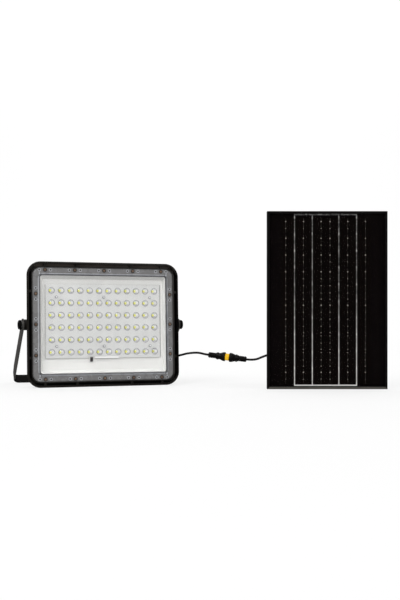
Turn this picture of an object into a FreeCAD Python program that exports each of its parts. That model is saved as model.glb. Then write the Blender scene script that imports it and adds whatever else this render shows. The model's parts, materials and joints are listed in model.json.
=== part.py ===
"""Solar flood light: an LED lamp head on a U-bracket, joined by a two-part cable to a framed solar panel.

Units are millimetres. The lamp stands on its lower rim and its bracket, leaning back a little.
The panel stands on its lower rail and a hinged leg. Three local frames are used, each with x to the
right, y to the back and z up: the lamp's, with its origin at the centre of the rim's front plane; the
connector's, with x along the plug's axis; and the panel's, with its origin at the centre of its front.
"""
import FreeCAD, Part
import math
import os

V = FreeCAD.Vector

# ---------------------------------------------------------------- driving dimensions
# Lamp head
LAMP_WIDTH = 318.2
LAMP_HEIGHT = 255.0
LAMP_CORNER = 28.5
RIM_WALL = 4.6
RIM_GROOVE = 5.0
RIM_LIP = 2.2
RIM_DEPTH = 24.0
RIM_DRAFT = 3.5
RIM_ROUND = 2.2
BACK_DEPTH = 44.0
FIN_DEPTH = 50.0
LAMP_YAW = 18.9
LAMP_LEAN = 2.35
# Front cover
COVER_FRONT = 3.0
COVER_BACK = 6.0
WINDOW_WIDTH = 260.6
WINDOW_HEIGHT = 196.8
WINDOW_MARGIN = 2.4
SCREW_INSET_X = 7.0
SCREW_INSET_Z = 5.2
SCREW_PITCH_X = 60.8
SCREW_PITCH_Z = 62.2
WEB_X = (57.0, 122.0)
WEB_Z = 67.2
# Light engine
LED_COLUMNS = 12
LED_ROWS = 6
LED_PITCH_X = 19.6
LED_PITCH_Z = 25.1
LED_CENTRE_Z = 6.4
DOME_RADIUS = 6.85
DOME_HEIGHT = 3.8
PLATE_WIDTH = 242.0
PLATE_HEIGHT = 153.4
PLATE_CENTRE_Z = 6.6
# Bracket
PIVOT_DEPTH = 22.0
BRACKET_STRIP = 25.0
FOOT_STRIP = 19.0
BRACKET_THICK = 2.8
BRACKET_SWING = 51.5
BOSS_HEIGHT = 3.4
BRACKET_BEND = 13.0
# Solar panel
PANEL_WIDTH = 236.4
PANEL_HEIGHT = 350.0
PANEL_DEPTH = 17.0
FRAME_LIP = 4.6
CELL_COUNT = 10
CELL_WIDTH = 178.0
CELL_PITCH = 33.0
CELL_CENTRE_X = -2.4
RIBBON_PITCH = 17.45
LEG_ANGLE = 38.0
# Layout on the ground
LAMP_X = -225.3
LAMP_Y = 78.0
PANEL_X = 220.2
CABLE_RADIUS = 2.25
CONNECTOR_LENGTH = 78.6

# ---------------------------------------------------------------- derived places
LAMP_HALF_X = LAMP_WIDTH / 2
LAMP_HALF_Z = LAMP_HEIGHT / 2
RIM = RIM_WALL + RIM_GROOVE + RIM_LIP
COVER_WIDTH = LAMP_WIDTH - 2 * RIM
COVER_HEIGHT = LAMP_HEIGHT - 2 * RIM
COVER_CORNER = LAMP_CORNER - RIM
SCREW_X = COVER_WIDTH / 2 - SCREW_INSET_X
SCREW_Z = COVER_HEIGHT / 2 - SCREW_INSET_Z
LEAN = math.radians(LAMP_LEAN)
SWING = math.radians(BRACKET_SWING)
DRAFT = math.atan(RIM_DRAFT / RIM_DEPTH)
# The rounded front edge of the rim's underside touches the ground.
ROUND_CENTRE_Z = -LAMP_HALF_Z + RIM_ROUND * (math.tan(DRAFT) + 1 / math.cos(DRAFT))
LAMP_Z = RIM_ROUND + RIM_ROUND * math.sin(LEAN) - ROUND_CENTRE_Z * math.cos(LEAN)
PIVOT_Z = LAMP_Z - PIVOT_DEPTH * math.sin(LEAN)
# The bracket's front lower edge touches the ground too.
BRACKET_LENGTH = (PIVOT_Z - BRACKET_STRIP / 2 * math.sin(SWING)) / math.cos(SWING)
BOSS_X = LAMP_HALF_X + BOSS_HEIGHT
ARM_X = BOSS_X + 0.1
WASHER_X = ARM_X + BRACKET_THICK + 0.1
WASHER_THICK = 1.0
KNOB_X = WASHER_X + WASHER_THICK + 0.1
KNOB_LENGTH = 7.2
CABLE_EXIT = V(LAMP_HALF_X, 18.0, -66.5)

LAMP_TURN = FreeCAD.Rotation(V(0, 0, 1), LAMP_YAW).multiply(FreeCAD.Rotation(V(1, 0, 0), -LAMP_LEAN))
LAMP_PLACE = FreeCAD.Placement(V(LAMP_X, LAMP_Y, LAMP_Z), LAMP_TURN)
PANEL_PLACE = FreeCAD.Placement(V(PANEL_X, 0, PANEL_HEIGHT / 2), FreeCAD.Rotation())

# Connector: its centre, and its axis from the lamp's side to the panel's side.
CONNECTOR_CENTRE = V(25.8, 72.0, 60.2)
CONNECTOR_AXIS = V(76.3, -16.2, -8.7).normalize()
CONNECTOR_PLACE = FreeCAD.Placement(CONNECTOR_CENTRE, FreeCAD.Rotation(V(1, 0, 0), CONNECTOR_AXIS))

# Junction box on the panel's back, in the panel's frame.
BOX_CENTRE_X = -60.0
BOX_CENTRE_Z = -109.5
BOX_WIDTH = 62.0
BOX_HEIGHT = 46.0
BOX_FRONT = 5.7
BOX_BACK = 27.0
BOX_CABLE_DEPTH = 20.2
# Panel hinge, in the panel's frame.
HINGE_DEPTH = 36.0
HINGE_Z = -5.0
HINGE_BOLT_RADIUS = 4.0
LEG_WIDTH = 30.0
LEG_THICK = 3.0


# ---------------------------------------------------------------- shape helpers
def outline(width, height, radius, depth=0.0, centre=(0.0, 0.0)):
    """A closed rectangle with round corners, in the x-z plane at a depth."""
    cx, cz = centre
    x, z = width / 2, height / 2
    corners = [(1, 1), (-1, 1), (-1, -1), (1, -1)]
    edges = []
    last = None
    first = None
    for sx, sz in corners:
        px, pz = cx + sx * (x - radius), cz + sz * (z - radius)
        on_x = V(cx + sx * x, depth, pz)
        on_z = V(px, depth, cz + sz * z)
        middle = V(px + sx * radius * math.sqrt(0.5), depth, pz + sz * radius * math.sqrt(0.5))
        start, end = (on_x, on_z) if sx * sz > 0 else (on_z, on_x)
        if last is not None:
            edges.append(Part.makeLine(last, start))
        edges.append(Part.Arc(start, middle, end).toShape())
        first = first or start
        last = end
    edges.append(Part.makeLine(last, first))
    return Part.Wire(edges)


def slab(width, height, radius, front, back, centre=(0.0, 0.0)):
    """A round-cornered plate between two depths."""
    return Part.Face(outline(width, height, radius, front, centre)).extrude(V(0, back - front, 0))


def taper(size_a, depth_a, size_b, depth_b):
    """A round-cornered block that changes size (width, height, corner) between two depths."""
    return Part.makeLoft([outline(*size_a, depth_a), outline(*size_b, depth_b)], True, True)


def rod(radius, start, end):
    """A round bar from one point to another."""
    axis = end - start
    return Part.makeCylinder(radius, axis.Length, start, axis)


def pin_y(radius, front, back, x, z):
    return rod(radius, V(x, front, z), V(x, back, z))


def pin_x(radius, left, right, y, z):
    return rod(radius, V(left, y, z), V(right, y, z))


def box(x, y, z):
    """A block from three (low, high) pairs."""
    return Part.makeBox(x[1] - x[0], y[1] - y[0], z[1] - z[0], V(x[0], y[0], z[0]))


def turned(profile, axis_start=V(0, 0, 0), axis=V(1, 0, 0)):
    """A solid of revolution from (along, radius) points, about the x axis."""
    points = [V(a, 0, r) for a, r in profile]
    face = Part.Face(Part.makePolygon(points + points[:1]))
    return face.revolve(axis_start, axis, 360)


def group(shapes):
    return Part.makeCompound(shapes)


def mirrored(shape):
    return shape.mirror(V(0, 0, 0), V(1, 0, 0))


def at_points(shape, points):
    """Copies of one solid moved to several points, in one group."""
    return group([shape.translated(V(*point)) for point in points])


def tube_along(points, radius, start_tangent, end_tangent):
    """A round cable through points, leaving and arriving along given directions."""
    curve = Part.BSplineCurve()
    curve.interpolate(Points=points, InitialTangent=start_tangent, FinalTangent=end_tangent)
    path = Part.Wire([curve.toShape()])
    circle = Part.Wire([Part.makeCircle(radius, points[0], start_tangent)])
    return path.makePipeShell([circle], True, True)


def fluted(shape, axis_radius, flute_radius, count, start, end):
    """Cuts grooves along x, evenly spaced around the x axis."""
    flutes = []
    for i in range(count):
        angle = 2 * math.pi * i / count
        y, z = axis_radius * math.cos(angle), axis_radius * math.sin(angle)
        flutes.append(pin_x(flute_radius, start, end, y, z))
    return shape.cut(flutes)


def cover_screw_places():
    """The cover screws, five on each long side and three on each short side, with the way each side runs."""
    places = [(i * SCREW_PITCH_X, side * SCREW_Z, (1, 0)) for side in (1, -1) for i in range(-2, 3)]
    places += [(side * SCREW_X, i * SCREW_PITCH_Z, (0, 1)) for side in (1, -1) for i in range(-1, 2)]
    return places


def led_places():
    """The centre of each LED on the board."""
    first_x = -LED_PITCH_X * (LED_COLUMNS - 1) / 2
    first_z = LED_CENTRE_Z - LED_PITCH_Z * (LED_ROWS - 1) / 2
    return [
        (first_x + column * LED_PITCH_X, first_z + row * LED_PITCH_Z)
        for column in range(LED_COLUMNS)
        for row in range(LED_ROWS)
    ]


def tray_post_places():
    """The two upper outer lens screws reach through the tray into posts."""
    return [(x, z) for x, z in lens_screw_places() if z > 0 and abs(x) > 1]


def lens_screw_places():
    x = LED_PITCH_X * (LED_COLUMNS - 2) / 2
    z = LED_PITCH_Z * (LED_ROWS - 2) / 2
    return [(i * x, LED_CENTRE_Z - 0.5 + j * z) for i in (-1, 0, 1) for j in (-1, 1)]


# ---------------------------------------------------------------- lamp head
BATTERY_Z = -54.0
HATCH_WIDTH = 190.0
HATCH_HEIGHT = 82.0
BUTTON_X = -118.0
BUTTON_Z = -58.0
VALVE_Z = -88.0
LEDGE_BACK = 12.0
HOLE_M3 = 1.5
CLEAR_M3 = 1.8
SHANK_M3 = 1.45


def hatch_screw_places():
    x = HATCH_WIDTH / 2 - 6
    z = HATCH_HEIGHT / 2 - 6
    return [(i * x, BATTERY_Z + j * z) for i in (-1, 0, 1) for j in (-1, 1)]


def lamp_housing():
    """The cast shell: a bumper rim with a drain groove, a ledge for the cover, and a finned back."""
    front_size = (LAMP_WIDTH, LAMP_HEIGHT, LAMP_CORNER)
    rim_size = (LAMP_WIDTH - 2 * RIM_DRAFT, LAMP_HEIGHT - 2 * RIM_DRAFT, LAMP_CORNER - RIM_DRAFT)
    front = taper(front_size, 0, rim_size, RIM_DEPTH)
    crest = [e for e in front.Edges if e.BoundBox.YMax < 0.01]
    front = front.makeFillet(RIM_ROUND, crest)
    back_size = (LAMP_WIDTH - 20, LAMP_HEIGHT - 20, LAMP_CORNER - 8)
    flat_size = (LAMP_WIDTH - 28, LAMP_HEIGHT - 28, LAMP_CORNER - 11)
    body = front.fuse(
        [
            taper(rim_size, RIM_DEPTH, back_size, 38),
            taper(back_size, 38, flat_size, BACK_DEPTH),
        ]
    )
    groove_out = (LAMP_WIDTH - 2 * RIM_WALL, LAMP_HEIGHT - 2 * RIM_WALL, LAMP_CORNER - RIM_WALL)
    lip = RIM_WALL + RIM_GROOVE
    groove_in = (LAMP_WIDTH - 2 * lip, LAMP_HEIGHT - 2 * lip, LAMP_CORNER - lip)
    groove = slab(*groove_out, -1, 7).cut(slab(*groove_in, -1, 7))
    seat = (COVER_WIDTH + 0.6, COVER_HEIGHT + 0.6, COVER_CORNER + 0.3)
    body = body.cut(
        [
            groove,
            slab(*groove_in, -1, 1.6),
            slab(*seat, -1, COVER_BACK),
            slab(WINDOW_WIDTH + 6, WINDOW_HEIGHT + 6, 8, 5, LEDGE_BACK + 1),
            slab(LAMP_WIDTH - 12, LAMP_HEIGHT - 12, 22, LEDGE_BACK, 24),
            slab(LAMP_WIDTH - 32, LAMP_HEIGHT - 32, 16, 20, 40),
        ]
    )
    added = groove_webs() + pivot_bosses() + cooling_fins() + inner_posts() + [cable_boss()]
    body = body.fuse(added)
    return body.cut(housing_holes()).removeSplitter()


def groove_webs():
    """Twelve small webs, each with a round pad, that tie the bumper rim to the lip."""
    x_line = LAMP_HALF_X - RIM_WALL - RIM_GROOVE / 2
    z_line = LAMP_HALF_Z - RIM_WALL - RIM_GROOVE / 2
    reach = RIM_GROOVE / 2 + 0.5
    webs = []
    for x in (-WEB_X[1], -WEB_X[0], *WEB_X):
        for z in (-z_line, z_line):
            webs.append(box((x - 1.5, x + 1.5), (1.4, 7.5), (z - reach, z + reach)))
            webs.append(pin_y(2.9, 2.6, 7.5, x, z))
    for z in (-WEB_Z, WEB_Z):
        for x in (-x_line, x_line):
            webs.append(box((x - reach, x + reach), (1.4, 7.5), (z - 1.5, z + 1.5)))
            webs.append(pin_y(2.9, 2.6, 7.5, x, z))
    return webs


def pivot_bosses():
    return [
        pin_x(11, side * (LAMP_HALF_X - 18), side * BOSS_X, PIVOT_DEPTH, 0)
        for side in (-1, 1)
    ]


def cable_boss():
    """Flat pad on the drafted side wall for the cable's grommet."""
    return pin_x(7.4, LAMP_HALF_X - 5.9, LAMP_HALF_X, CABLE_EXIT.y, CABLE_EXIT.z)


def cooling_fins():
    """Upright fins over the upper half of the back."""
    pitch = 12.0
    return [
        slab(3.2, 96, 1.5, BACK_DEPTH - 0.5, FIN_DEPTH, (column * pitch, 50))
        for column in range(-9, 10)
    ]


def inner_posts():
    """Posts for the light engine and the board, and pads under the hatch screws."""
    posts = [pin_y(4, FLOOR_BACK, 41, x, z) for x, z in tray_post_places()]
    posts += [pin_y(3.5, 31.8, 41, x, z) for x in (-50, 50) for z in (16, 86)]
    posts += [pin_y(4.5, 37, 41, x, z) for x, z in hatch_screw_places()]
    return posts


def housing_holes():
    """Tapped holes, pivot bores, the battery opening, and the outlets for cable, button and valve."""
    holes = [pin_y(HOLE_M3, COVER_BACK - 1, LEDGE_BACK + 1, x, z) for x, z, _ in cover_screw_places()]
    holes += [pin_y(HOLE_M3, 10, 30, x, z) for x, z in tray_post_places()]
    holes += [pin_y(HOLE_M3, 30, 37, x, z) for x in (-50, 50) for z in (16, 86)]
    holes += [pin_y(HOLE_M3, 36, 46, x, z) for x, z in hatch_screw_places()]
    holes += [
        pin_x(6, side * (LAMP_HALF_X - 16), side * (BOSS_X + 1), PIVOT_DEPTH, 0)
        for side in (-1, 1)
    ]
    holes.append(slab(166, 62, 6, 39, 46, (0, BATTERY_Z)))
    holes.append(pin_x(4.5, LAMP_HALF_X - 8, LAMP_HALF_X + 1, CABLE_EXIT.y, CABLE_EXIT.z))
    holes.append(pin_y(7.1, 39, 46, BUTTON_X, BUTTON_Z))
    holes.append(pin_y(4.05, 39, 46, BUTTON_X, VALVE_Z))
    return holes


DIMPLE_OFFSET = 11.3
DIMPLE_RADIUS = 2.1
DIMPLE_RING = 3.1
POCKET_RADIUS = 4.3
POCKET_DEPTH = 4.1
BORDER_MARGIN = 4.3
WINDOW_FRONT = 1.0
WINDOW_BACK = 4.0


def window_block(margin, corner, front, back):
    """A round-cornered block a margin wider than the window on every side."""
    return slab(WINDOW_WIDTH + 2 * margin, WINDOW_HEIGHT + 2 * margin, corner, front, back)


def cover_flange():
    """The cover's flange, with its front edge bevelled, and the bevelled border around the window."""
    edge = COVER_FRONT + 1.2
    size = (COVER_WIDTH, COVER_HEIGHT, COVER_CORNER)
    bevelled = (COVER_WIDTH - 5, COVER_HEIGHT - 5, COVER_CORNER - 2.5)
    border = WINDOW_WIDTH + 2 * BORDER_MARGIN, WINDOW_HEIGHT + 2 * BORDER_MARGIN, 8
    border_foot = border[0] + 2.8, border[1] + 2.8, 10
    return slab(*size, edge, COVER_BACK - 0.8).fuse(
        [
            taper(bevelled, COVER_FRONT, size, edge),
            taper(border, COVER_FRONT - 1.4, border_foot, COVER_FRONT + 0.4),
        ]
    )


def front_cover():
    """Clear moulded cover: a bevelled flange with screw pockets, and a raised window."""
    cover = cover_flange().fuse(window_block(WINDOW_MARGIN, 4.5, WINDOW_FRONT, COVER_FRONT + 0.4))
    cuts = [window_block(WINDOW_MARGIN, 4.5, WINDOW_BACK, COVER_BACK + 1)]
    rings = []
    for x, z, (run_x, run_z) in cover_screw_places():
        cuts.append(pin_y(CLEAR_M3, 0, COVER_BACK + 1, x, z))
        cuts.append(pin_y(POCKET_RADIUS, 0, POCKET_DEPTH, x, z))
        for side in (-DIMPLE_OFFSET, DIMPLE_OFFSET):
            px, pz = x + side * run_x, z + side * run_z
            rings.append(pin_y(DIMPLE_RING, COVER_FRONT - 0.35, COVER_FRONT + 0.5, px, pz))
            cuts.append(pin_y(DIMPLE_RADIUS, 0, COVER_FRONT + 1.1, px, pz))
    return cover.fuse(rings).cut(cuts).removeSplitter()


def cover_gasket():
    outer = slab(WINDOW_WIDTH + 15, WINDOW_HEIGHT + 15, 11, COVER_BACK - 0.8, COVER_BACK)
    return outer.cut(slab(WINDOW_WIDTH + 7, WINDOW_HEIGHT + 7, 8, COVER_BACK - 1, COVER_BACK + 1))


def machine_screw(head_radius, head_height, shank_radius, length, front):
    """A pan-head cross-recess screw along y, with the underside of its head at depth front."""
    head = pin_y(head_radius, front - head_height, front, 0, 0)
    rim = [e for e in head.Edges if e.BoundBox.YMax < front - head_height + 0.01]
    head = head.makeFillet(head_height * 0.55, rim)
    top = front - head_height
    arm = head_radius * 0.55
    slot = head_radius * 0.14
    recess = box((-arm, arm), (top - 1, top + head_height * 0.5), (-slot, slot))
    recess = recess.fuse(box((-slot, slot), (top - 1, top + head_height * 0.5), (-arm, arm)))
    shank = pin_y(shank_radius, front - 0.2, front + length, 0, 0)
    return head.fuse(shank).cut(recess)


def cover_screws():
    screw = machine_screw(3.2, 1.9, SHANK_M3, 7.5, POCKET_DEPTH)
    return at_points(screw, [(x, 0, z) for x, z, _ in cover_screw_places()])


FLOOR_FRONT = 13.6
FLOOR_BACK = 14.8
TRAY_FRONT = 4.5


def reflector_tray():
    """White dished tray with sloping walls. Its floor carries the LED board."""
    mouth = (WINDOW_WIDTH, WINDOW_HEIGHT, 3)
    floor = (WINDOW_WIDTH - 7.6, WINDOW_HEIGHT - 11, 2)
    wall = 1.2
    outer_mouth = (mouth[0] + 1.4, mouth[1] + 1.4, 4)
    outer_floor = (floor[0] + 2 * wall, floor[1] + 2 * wall, 3)
    shell = taper(outer_mouth, TRAY_FRONT, outer_floor, FLOOR_BACK)
    tray = shell.cut(taper(mouth, TRAY_FRONT - 0.001, floor, FLOOR_FRONT))
    holes = [pin_y(HOLE_M3 + 0.1, FLOOR_FRONT - 1, FLOOR_BACK + 1, x, z) for x, z in lens_screw_places()]
    holes.append(slab(5.4, 9.4, 1, FLOOR_FRONT - 1, FLOOR_BACK + 1, (SENSOR_X, SENSOR_Z)))
    holes.append(pin_y(4, FLOOR_FRONT - 1, FLOOR_BACK + 1, 0, 40))
    return tray.cut(holes)


SENSOR_X = -26.0
SENSOR_Z = -71.5
BOARD_FRONT = 12.0
CHIP_HEIGHT = 0.8
LENS_FRONT = 8.6
LENS_BACK = 10.6


def sensor_notch(front, back):
    low = PLATE_CENTRE_Z - PLATE_HEIGHT / 2 - 1
    return box((SENSOR_X - 7, SENSOR_X + 7), (front, back), (low, SENSOR_Z + 6.5))


def led_board():
    board = slab(PLATE_WIDTH - 3, PLATE_HEIGHT - 3, 2, BOARD_FRONT, FLOOR_FRONT, (0, PLATE_CENTRE_Z))
    holes = [pin_y(HOLE_M3 + 0.1, 0, 20, x, z) for x, z in lens_screw_places()]
    return board.cut(holes + [sensor_notch(0, 20)])


def led_chips():
    """Seventy-two square LED packages, each with a round light-emitting well."""
    half = 2.5
    package = box((-half, half), (BOARD_FRONT - CHIP_HEIGHT, BOARD_FRONT), (-half, half))
    package = package.cut(pin_y(2.0, BOARD_FRONT - CHIP_HEIGHT - 1, BOARD_FRONT - CHIP_HEIGHT + 0.2, 0, 0))
    return at_points(package, [(x, 0, z) for x, z in led_places()])


def lens_plate():
    """Clear sheet with one round dome over each LED, held off the board by a skirt."""
    plate = slab(PLATE_WIDTH, PLATE_HEIGHT, 3, LENS_FRONT, LENS_BACK, (0, PLATE_CENTRE_Z))
    centre = (0, PLATE_CENTRE_Z)
    skirt = slab(PLATE_WIDTH, PLATE_HEIGHT, 3, LENS_BACK - 0.5, FLOOR_FRONT, centre)
    skirt = skirt.cut(slab(PLATE_WIDTH - 2.4, PLATE_HEIGHT - 2.4, 2, LENS_BACK - 0.5, FLOOR_FRONT, centre))
    plate = plate.fuse(skirt)
    ball = (DOME_RADIUS**2 + DOME_HEIGHT**2) / (2 * DOME_HEIGHT)
    middle = LENS_FRONT - DOME_HEIGHT + ball
    dome = Part.makeSphere(ball, V(0, middle, 0)).common(box((-9, 9), (0, LENS_FRONT + 0.5), (-9, 9)))
    domes = [dome.translated(V(x, 0, z)) for x, z in led_places()]
    holes = [pin_y(CLEAR_M3, 0, 20, x, z) for x, z in lens_screw_places()]
    return plate.fuse(domes).cut(holes + [sensor_notch(0, 20)])


def lens_screws():
    screw = machine_screw(3.0, 1.6, SHANK_M3, 18.0, LENS_FRONT)
    short = machine_screw(3.0, 1.6, SHANK_M3, 6.6, LENS_FRONT)
    deep = [screw.translated(V(x, 0, z)) for x, z in tray_post_places()]
    rest = [place for place in lens_screw_places() if place not in tray_post_places()]
    return group(deep + [short.translated(V(x, 0, z)) for x, z in rest])


def infrared_sensor():
    """Receiver for the remote control: a small dark block with a round window."""
    body = slab(5.0, 9.0, 1, BOARD_FRONT - 2.2, FLOOR_BACK + 2, (SENSOR_X, SENSOR_Z))
    window = Part.makeSphere(2.0, V(SENSOR_X, BOARD_FRONT - 2.2, SENSOR_Z + 1))
    return body.fuse(window)


def blank_label():
    return slab(50, 3, 0.5, LENS_FRONT - 0.35, LENS_FRONT, (5.5, -67.6))


CELL_RADIUS = 9.2
CELL_LENGTH = 65.0
CELL_DEPTH = 28.0


def battery_places():
    return [(x, BATTERY_Z + row * 19.6) for x in (-34.5, 34.5) for row in (-1, 0, 1)]


def battery_cells():
    """Six round rechargeable cells, lying across the lamp in three rows."""
    cells = []
    for x, z in battery_places():
        can = pin_x(CELL_RADIUS, x - CELL_LENGTH / 2, x + CELL_LENGTH / 2, CELL_DEPTH, z)
        cells.append(can.fuse(pin_x(2.8, x + CELL_LENGTH / 2 - 1, x + CELL_LENGTH / 2 + 1, CELL_DEPTH, z)))
    return group(cells)


def battery_cradle():
    """Plastic cradle with a half-round trough for each cell."""
    cradle = slab(146, 60, 3, 17, CELL_DEPTH, (0, BATTERY_Z))
    troughs = [
        pin_x(CELL_RADIUS + 0.15, x - CELL_LENGTH / 2 - 0.4, x + CELL_LENGTH / 2 + 1.2, CELL_DEPTH, z)
        for x, z in battery_places()
    ]
    return cradle.cut(troughs)


def battery_hatch():
    """Cover over the battery opening, with three stiffening ribs."""
    plate = slab(HATCH_WIDTH, HATCH_HEIGHT, 8, BACK_DEPTH + 1, BACK_DEPTH + 4, (0, BATTERY_Z))
    rim = [e for e in plate.Edges if e.BoundBox.YMin > BACK_DEPTH + 3.9]
    plate = plate.makeFillet(1.2, rim)
    ribs = [
        slab(140, 3, 1.4, BACK_DEPTH + 3, BACK_DEPTH + 5.5, (0, BATTERY_Z + i * 16))
        for i in (-1, 0, 1)
    ]
    holes = []
    for x, z in hatch_screw_places():
        holes.append(pin_y(1.8, 40, 50, x, z))
        holes.append(pin_y(3.6, BACK_DEPTH + 2.2, 50, x, z))
    return plate.fuse(ribs).cut(holes)


def hatch_gasket():
    outer = slab(HATCH_WIDTH - 4, HATCH_HEIGHT - 4, 6, BACK_DEPTH, BACK_DEPTH + 1, (0, BATTERY_Z))
    inner = slab(170, 66, 6, BACK_DEPTH - 1, BACK_DEPTH + 2, (0, BATTERY_Z))
    return outer.cut([inner] + [pin_y(2.2, 40, 50, x, z) for x, z in hatch_screw_places()])


def facing_back(shape):
    """Turns a screw made facing the front to face the back."""
    return shape.rotated(V(0, 0, 0), V(0, 0, 1), 180)


def hatch_screws():
    screw = facing_back(machine_screw(3.0, 1.8, SHANK_M3, 8.0, -(BACK_DEPTH + 2.2)))
    return at_points(screw, [(x, 0, z) for x, z in hatch_screw_places()])


CONTROL_FRONT = 30.2
CLAMP_REACH = 21.0


def control_board():
    """Charge controller: a board with a coil, three capacitors, a chip, a relay and a cable header."""
    board = box((-58, 58), (CONTROL_FRONT, CONTROL_FRONT + 1.6), (10, 92))
    board = board.cut([pin_y(1.6, 20, 40, x, z) for x in (-50, 50) for z in (16, 86)])
    coil = pin_y(7, 22, CONTROL_FRONT, -34, 52)
    parts = [board, coil.cut(pin_y(3, 20, 31, -34, 52)).fuse(pin_y(2.5, 21.5, CONTROL_FRONT, -34, 52))]
    parts += [pin_y(4, 19.5, CONTROL_FRONT, x, 30) for x in (-30, -18, -6)]
    parts.append(box((4, 16), (28.8, CONTROL_FRONT), (44, 56)))
    parts.append(box((26, 42), (21, CONTROL_FRONT), (52, 68)))
    parts.append(box((24, 48), (24, CONTROL_FRONT), (20, 28)))
    parts.append(box((-44, -28), (23, CONTROL_FRONT), (74, 82)))
    return group(parts)


def inner_wires():
    """Four insulated wires: two from the board to the battery, one to the LEDs, one to the panel lead."""
    radius = 0.9
    down = V(0, 0, -1)
    wires = []
    for x in (30, 36):
        wires.append(tube_along([V(x, 26.5, 19.8), V(x, 24, -23.9)], radius, down * 30, down * 30))
    points = [V(-36, 24.5, 73.9), V(-24, 18.5, 60), V(-6, 17.5, 44), V(0, 13.7, 40)]
    wires.append(tube_along(points, radius, down * 15, V(0, -8, 0)))
    clamp_x = CABLE_EXIT.x - CLAMP_REACH
    at_clamp = V(clamp_x - 0.1, CABLE_EXIT.y, CABLE_EXIT.z)
    points = [V(44, 26.5, 19.8), V(74, 26, -4), V(112, 22, -44), at_clamp]
    wires.append(tube_along(points, radius, down * 30, V(30, 0, 0)))
    return group(wires)


def cable_grommet():
    """Rubber grommet that seals the panel lead where it leaves the lamp's side."""
    x = LAMP_HALF_X
    profile = [(x - 8, CABLE_RADIUS), (x + 1.6, CABLE_RADIUS), (x + 1.6, 4.8), (x + 0.9, 5.9), (x, 5.9),
               (x, 4.5), (x - 6, 4.5), (x - 6, 5.8), (x - 8, 5.2)]
    return turned(profile).translated(V(0, CABLE_EXIT.y, CABLE_EXIT.z))


def strain_clamp():
    """Block that grips the lead inside the lamp."""
    near = CABLE_EXIT.x - CLAMP_REACH
    block = box((near, near + 8), (LEDGE_BACK, 22.5), (CABLE_EXIT.z - 5, CABLE_EXIT.z + 5))
    bore = pin_x(CABLE_RADIUS, near + 2, near + 9, CABLE_EXIT.y, CABLE_EXIT.z)
    wire_bore = pin_x(1.2, near - 1, near + 9, CABLE_EXIT.y, CABLE_EXIT.z)
    return block.cut([bore, wire_bore])


def breather_valve():
    """Vent plug beside the button: a stem, and a round cap with six side slots."""
    stem = [(38, 0), (38, 4.0), (BACK_DEPTH, 4.0), (BACK_DEPTH, 7.5)]
    cap = [(BACK_DEPTH + 3, 7.5), (BACK_DEPTH + 4, 6.5), (BACK_DEPTH + 4, 0)]
    valve = turned(stem + cap)
    slots = []
    for i in range(6):
        slot = box((BACK_DEPTH + 1.2, BACK_DEPTH + 2.6), (4.5, 9), (-1.2, 1.2))
        slots.append(slot.rotated(V(0, 0, 0), V(1, 0, 0), 60 * i))
    return valve.cut(slots).rotated(V(0, 0, 0), V(0, 0, 1), 90).translated(V(BUTTON_X, 0, VALVE_Z))


def power_switch():
    """Push switch behind the button, on its own small board."""
    board = slab(26, 20, 1.5, 30, 31.6, (BUTTON_X, BUTTON_Z))
    case = slab(12, 12, 1, 31.6, 37.4, (BUTTON_X, BUTTON_Z))
    return group([board, case.fuse(pin_y(2.4, 37, 39.0, BUTTON_X, BUTTON_Z))])


def power_button():
    """Rubber-capped button in the back of the lamp, free to travel into the housing."""
    barrel = [(40.6, 0), (40.6, 7.0), (BACK_DEPTH - 0.2, 7.0)]
    crown = [(BACK_DEPTH + 3.2, 6.4), (BACK_DEPTH + 4, 5.6), (BACK_DEPTH + 4.3, 0)]
    cap = turned(barrel + crown)
    ring = pin_x(4.4, BACK_DEPTH + 3.9, 50, 0, 0).cut(pin_x(3.6, BACK_DEPTH + 3, 51, 0, 0))
    return cap.cut(ring).rotated(V(0, 0, 0), V(0, 0, 1), 90).translated(V(BUTTON_X, 0, BUTTON_Z))


def pivot_inserts():
    """Brass threaded inserts, one in each pivot boss."""
    inserts = []
    for side in (-1, 1):
        insert = pin_x(6, side * (LAMP_HALF_X - 14), side * BOSS_X, PIVOT_DEPTH, 0)
        thread = pin_x(4.05, side * (LAMP_HALF_X - 15), side * (BOSS_X + 1), PIVOT_DEPTH, 0)
        inserts.append(insert.cut(thread))
    return group(inserts)


# ---------------------------------------------------------------- bracket and clamp knobs
FOOT_CENTRE_Y = (FOOT_STRIP - BRACKET_STRIP) / 2
FOOT_HOLE_RADIUS = 5.25
SLOT_RADIUS = 3.25
SLOT_HALF = 6.0
SLOT_X = 70.0
PIVOT_HOLE_RADIUS = 4.1


def bracket_band():
    """The U-shaped strip hanging straight down from the pivots, square-ended at the top."""
    outer = ARM_X + BRACKET_THICK
    inner_length = BRACKET_LENGTH - BRACKET_THICK
    deep = V(0, BRACKET_STRIP, 0)
    outside = Part.Face(outline(2 * outer, 2 * BRACKET_LENGTH, BRACKET_BEND)).extrude(deep)
    inside = Part.Face(outline(2 * ARM_X, 2 * inner_length, BRACKET_BEND - BRACKET_THICK)).extrude(deep)
    band = outside.cut(inside).translated(V(0, -BRACKET_STRIP / 2, 0))
    below_pivot = box((-outer - 1, outer + 1), (-BRACKET_STRIP, BRACKET_STRIP), (-BRACKET_LENGTH - 1, 0))
    return band.common(below_pivot)


def bracket_waist():
    """The wedge taken off the strip's back edge, from the middle of each bend down to the foot."""
    outer = ARM_X + BRACKET_THICK + 1
    foot = -BRACKET_LENGTH
    full = BRACKET_STRIP / 2 + 0.1
    narrow = FOOT_STRIP - BRACKET_STRIP / 2
    upper = [(narrow, foot + BRACKET_BEND), (full, foot + 2.4 * BRACKET_BEND)]
    lower = [(full, foot - 1), (narrow, foot - 1)]
    points = [V(-outer, y, z) for y, z in upper + lower]
    return Part.Face(Part.makePolygon(points + points[:1])).extrude(V(2 * outer, 0, 0))


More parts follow.
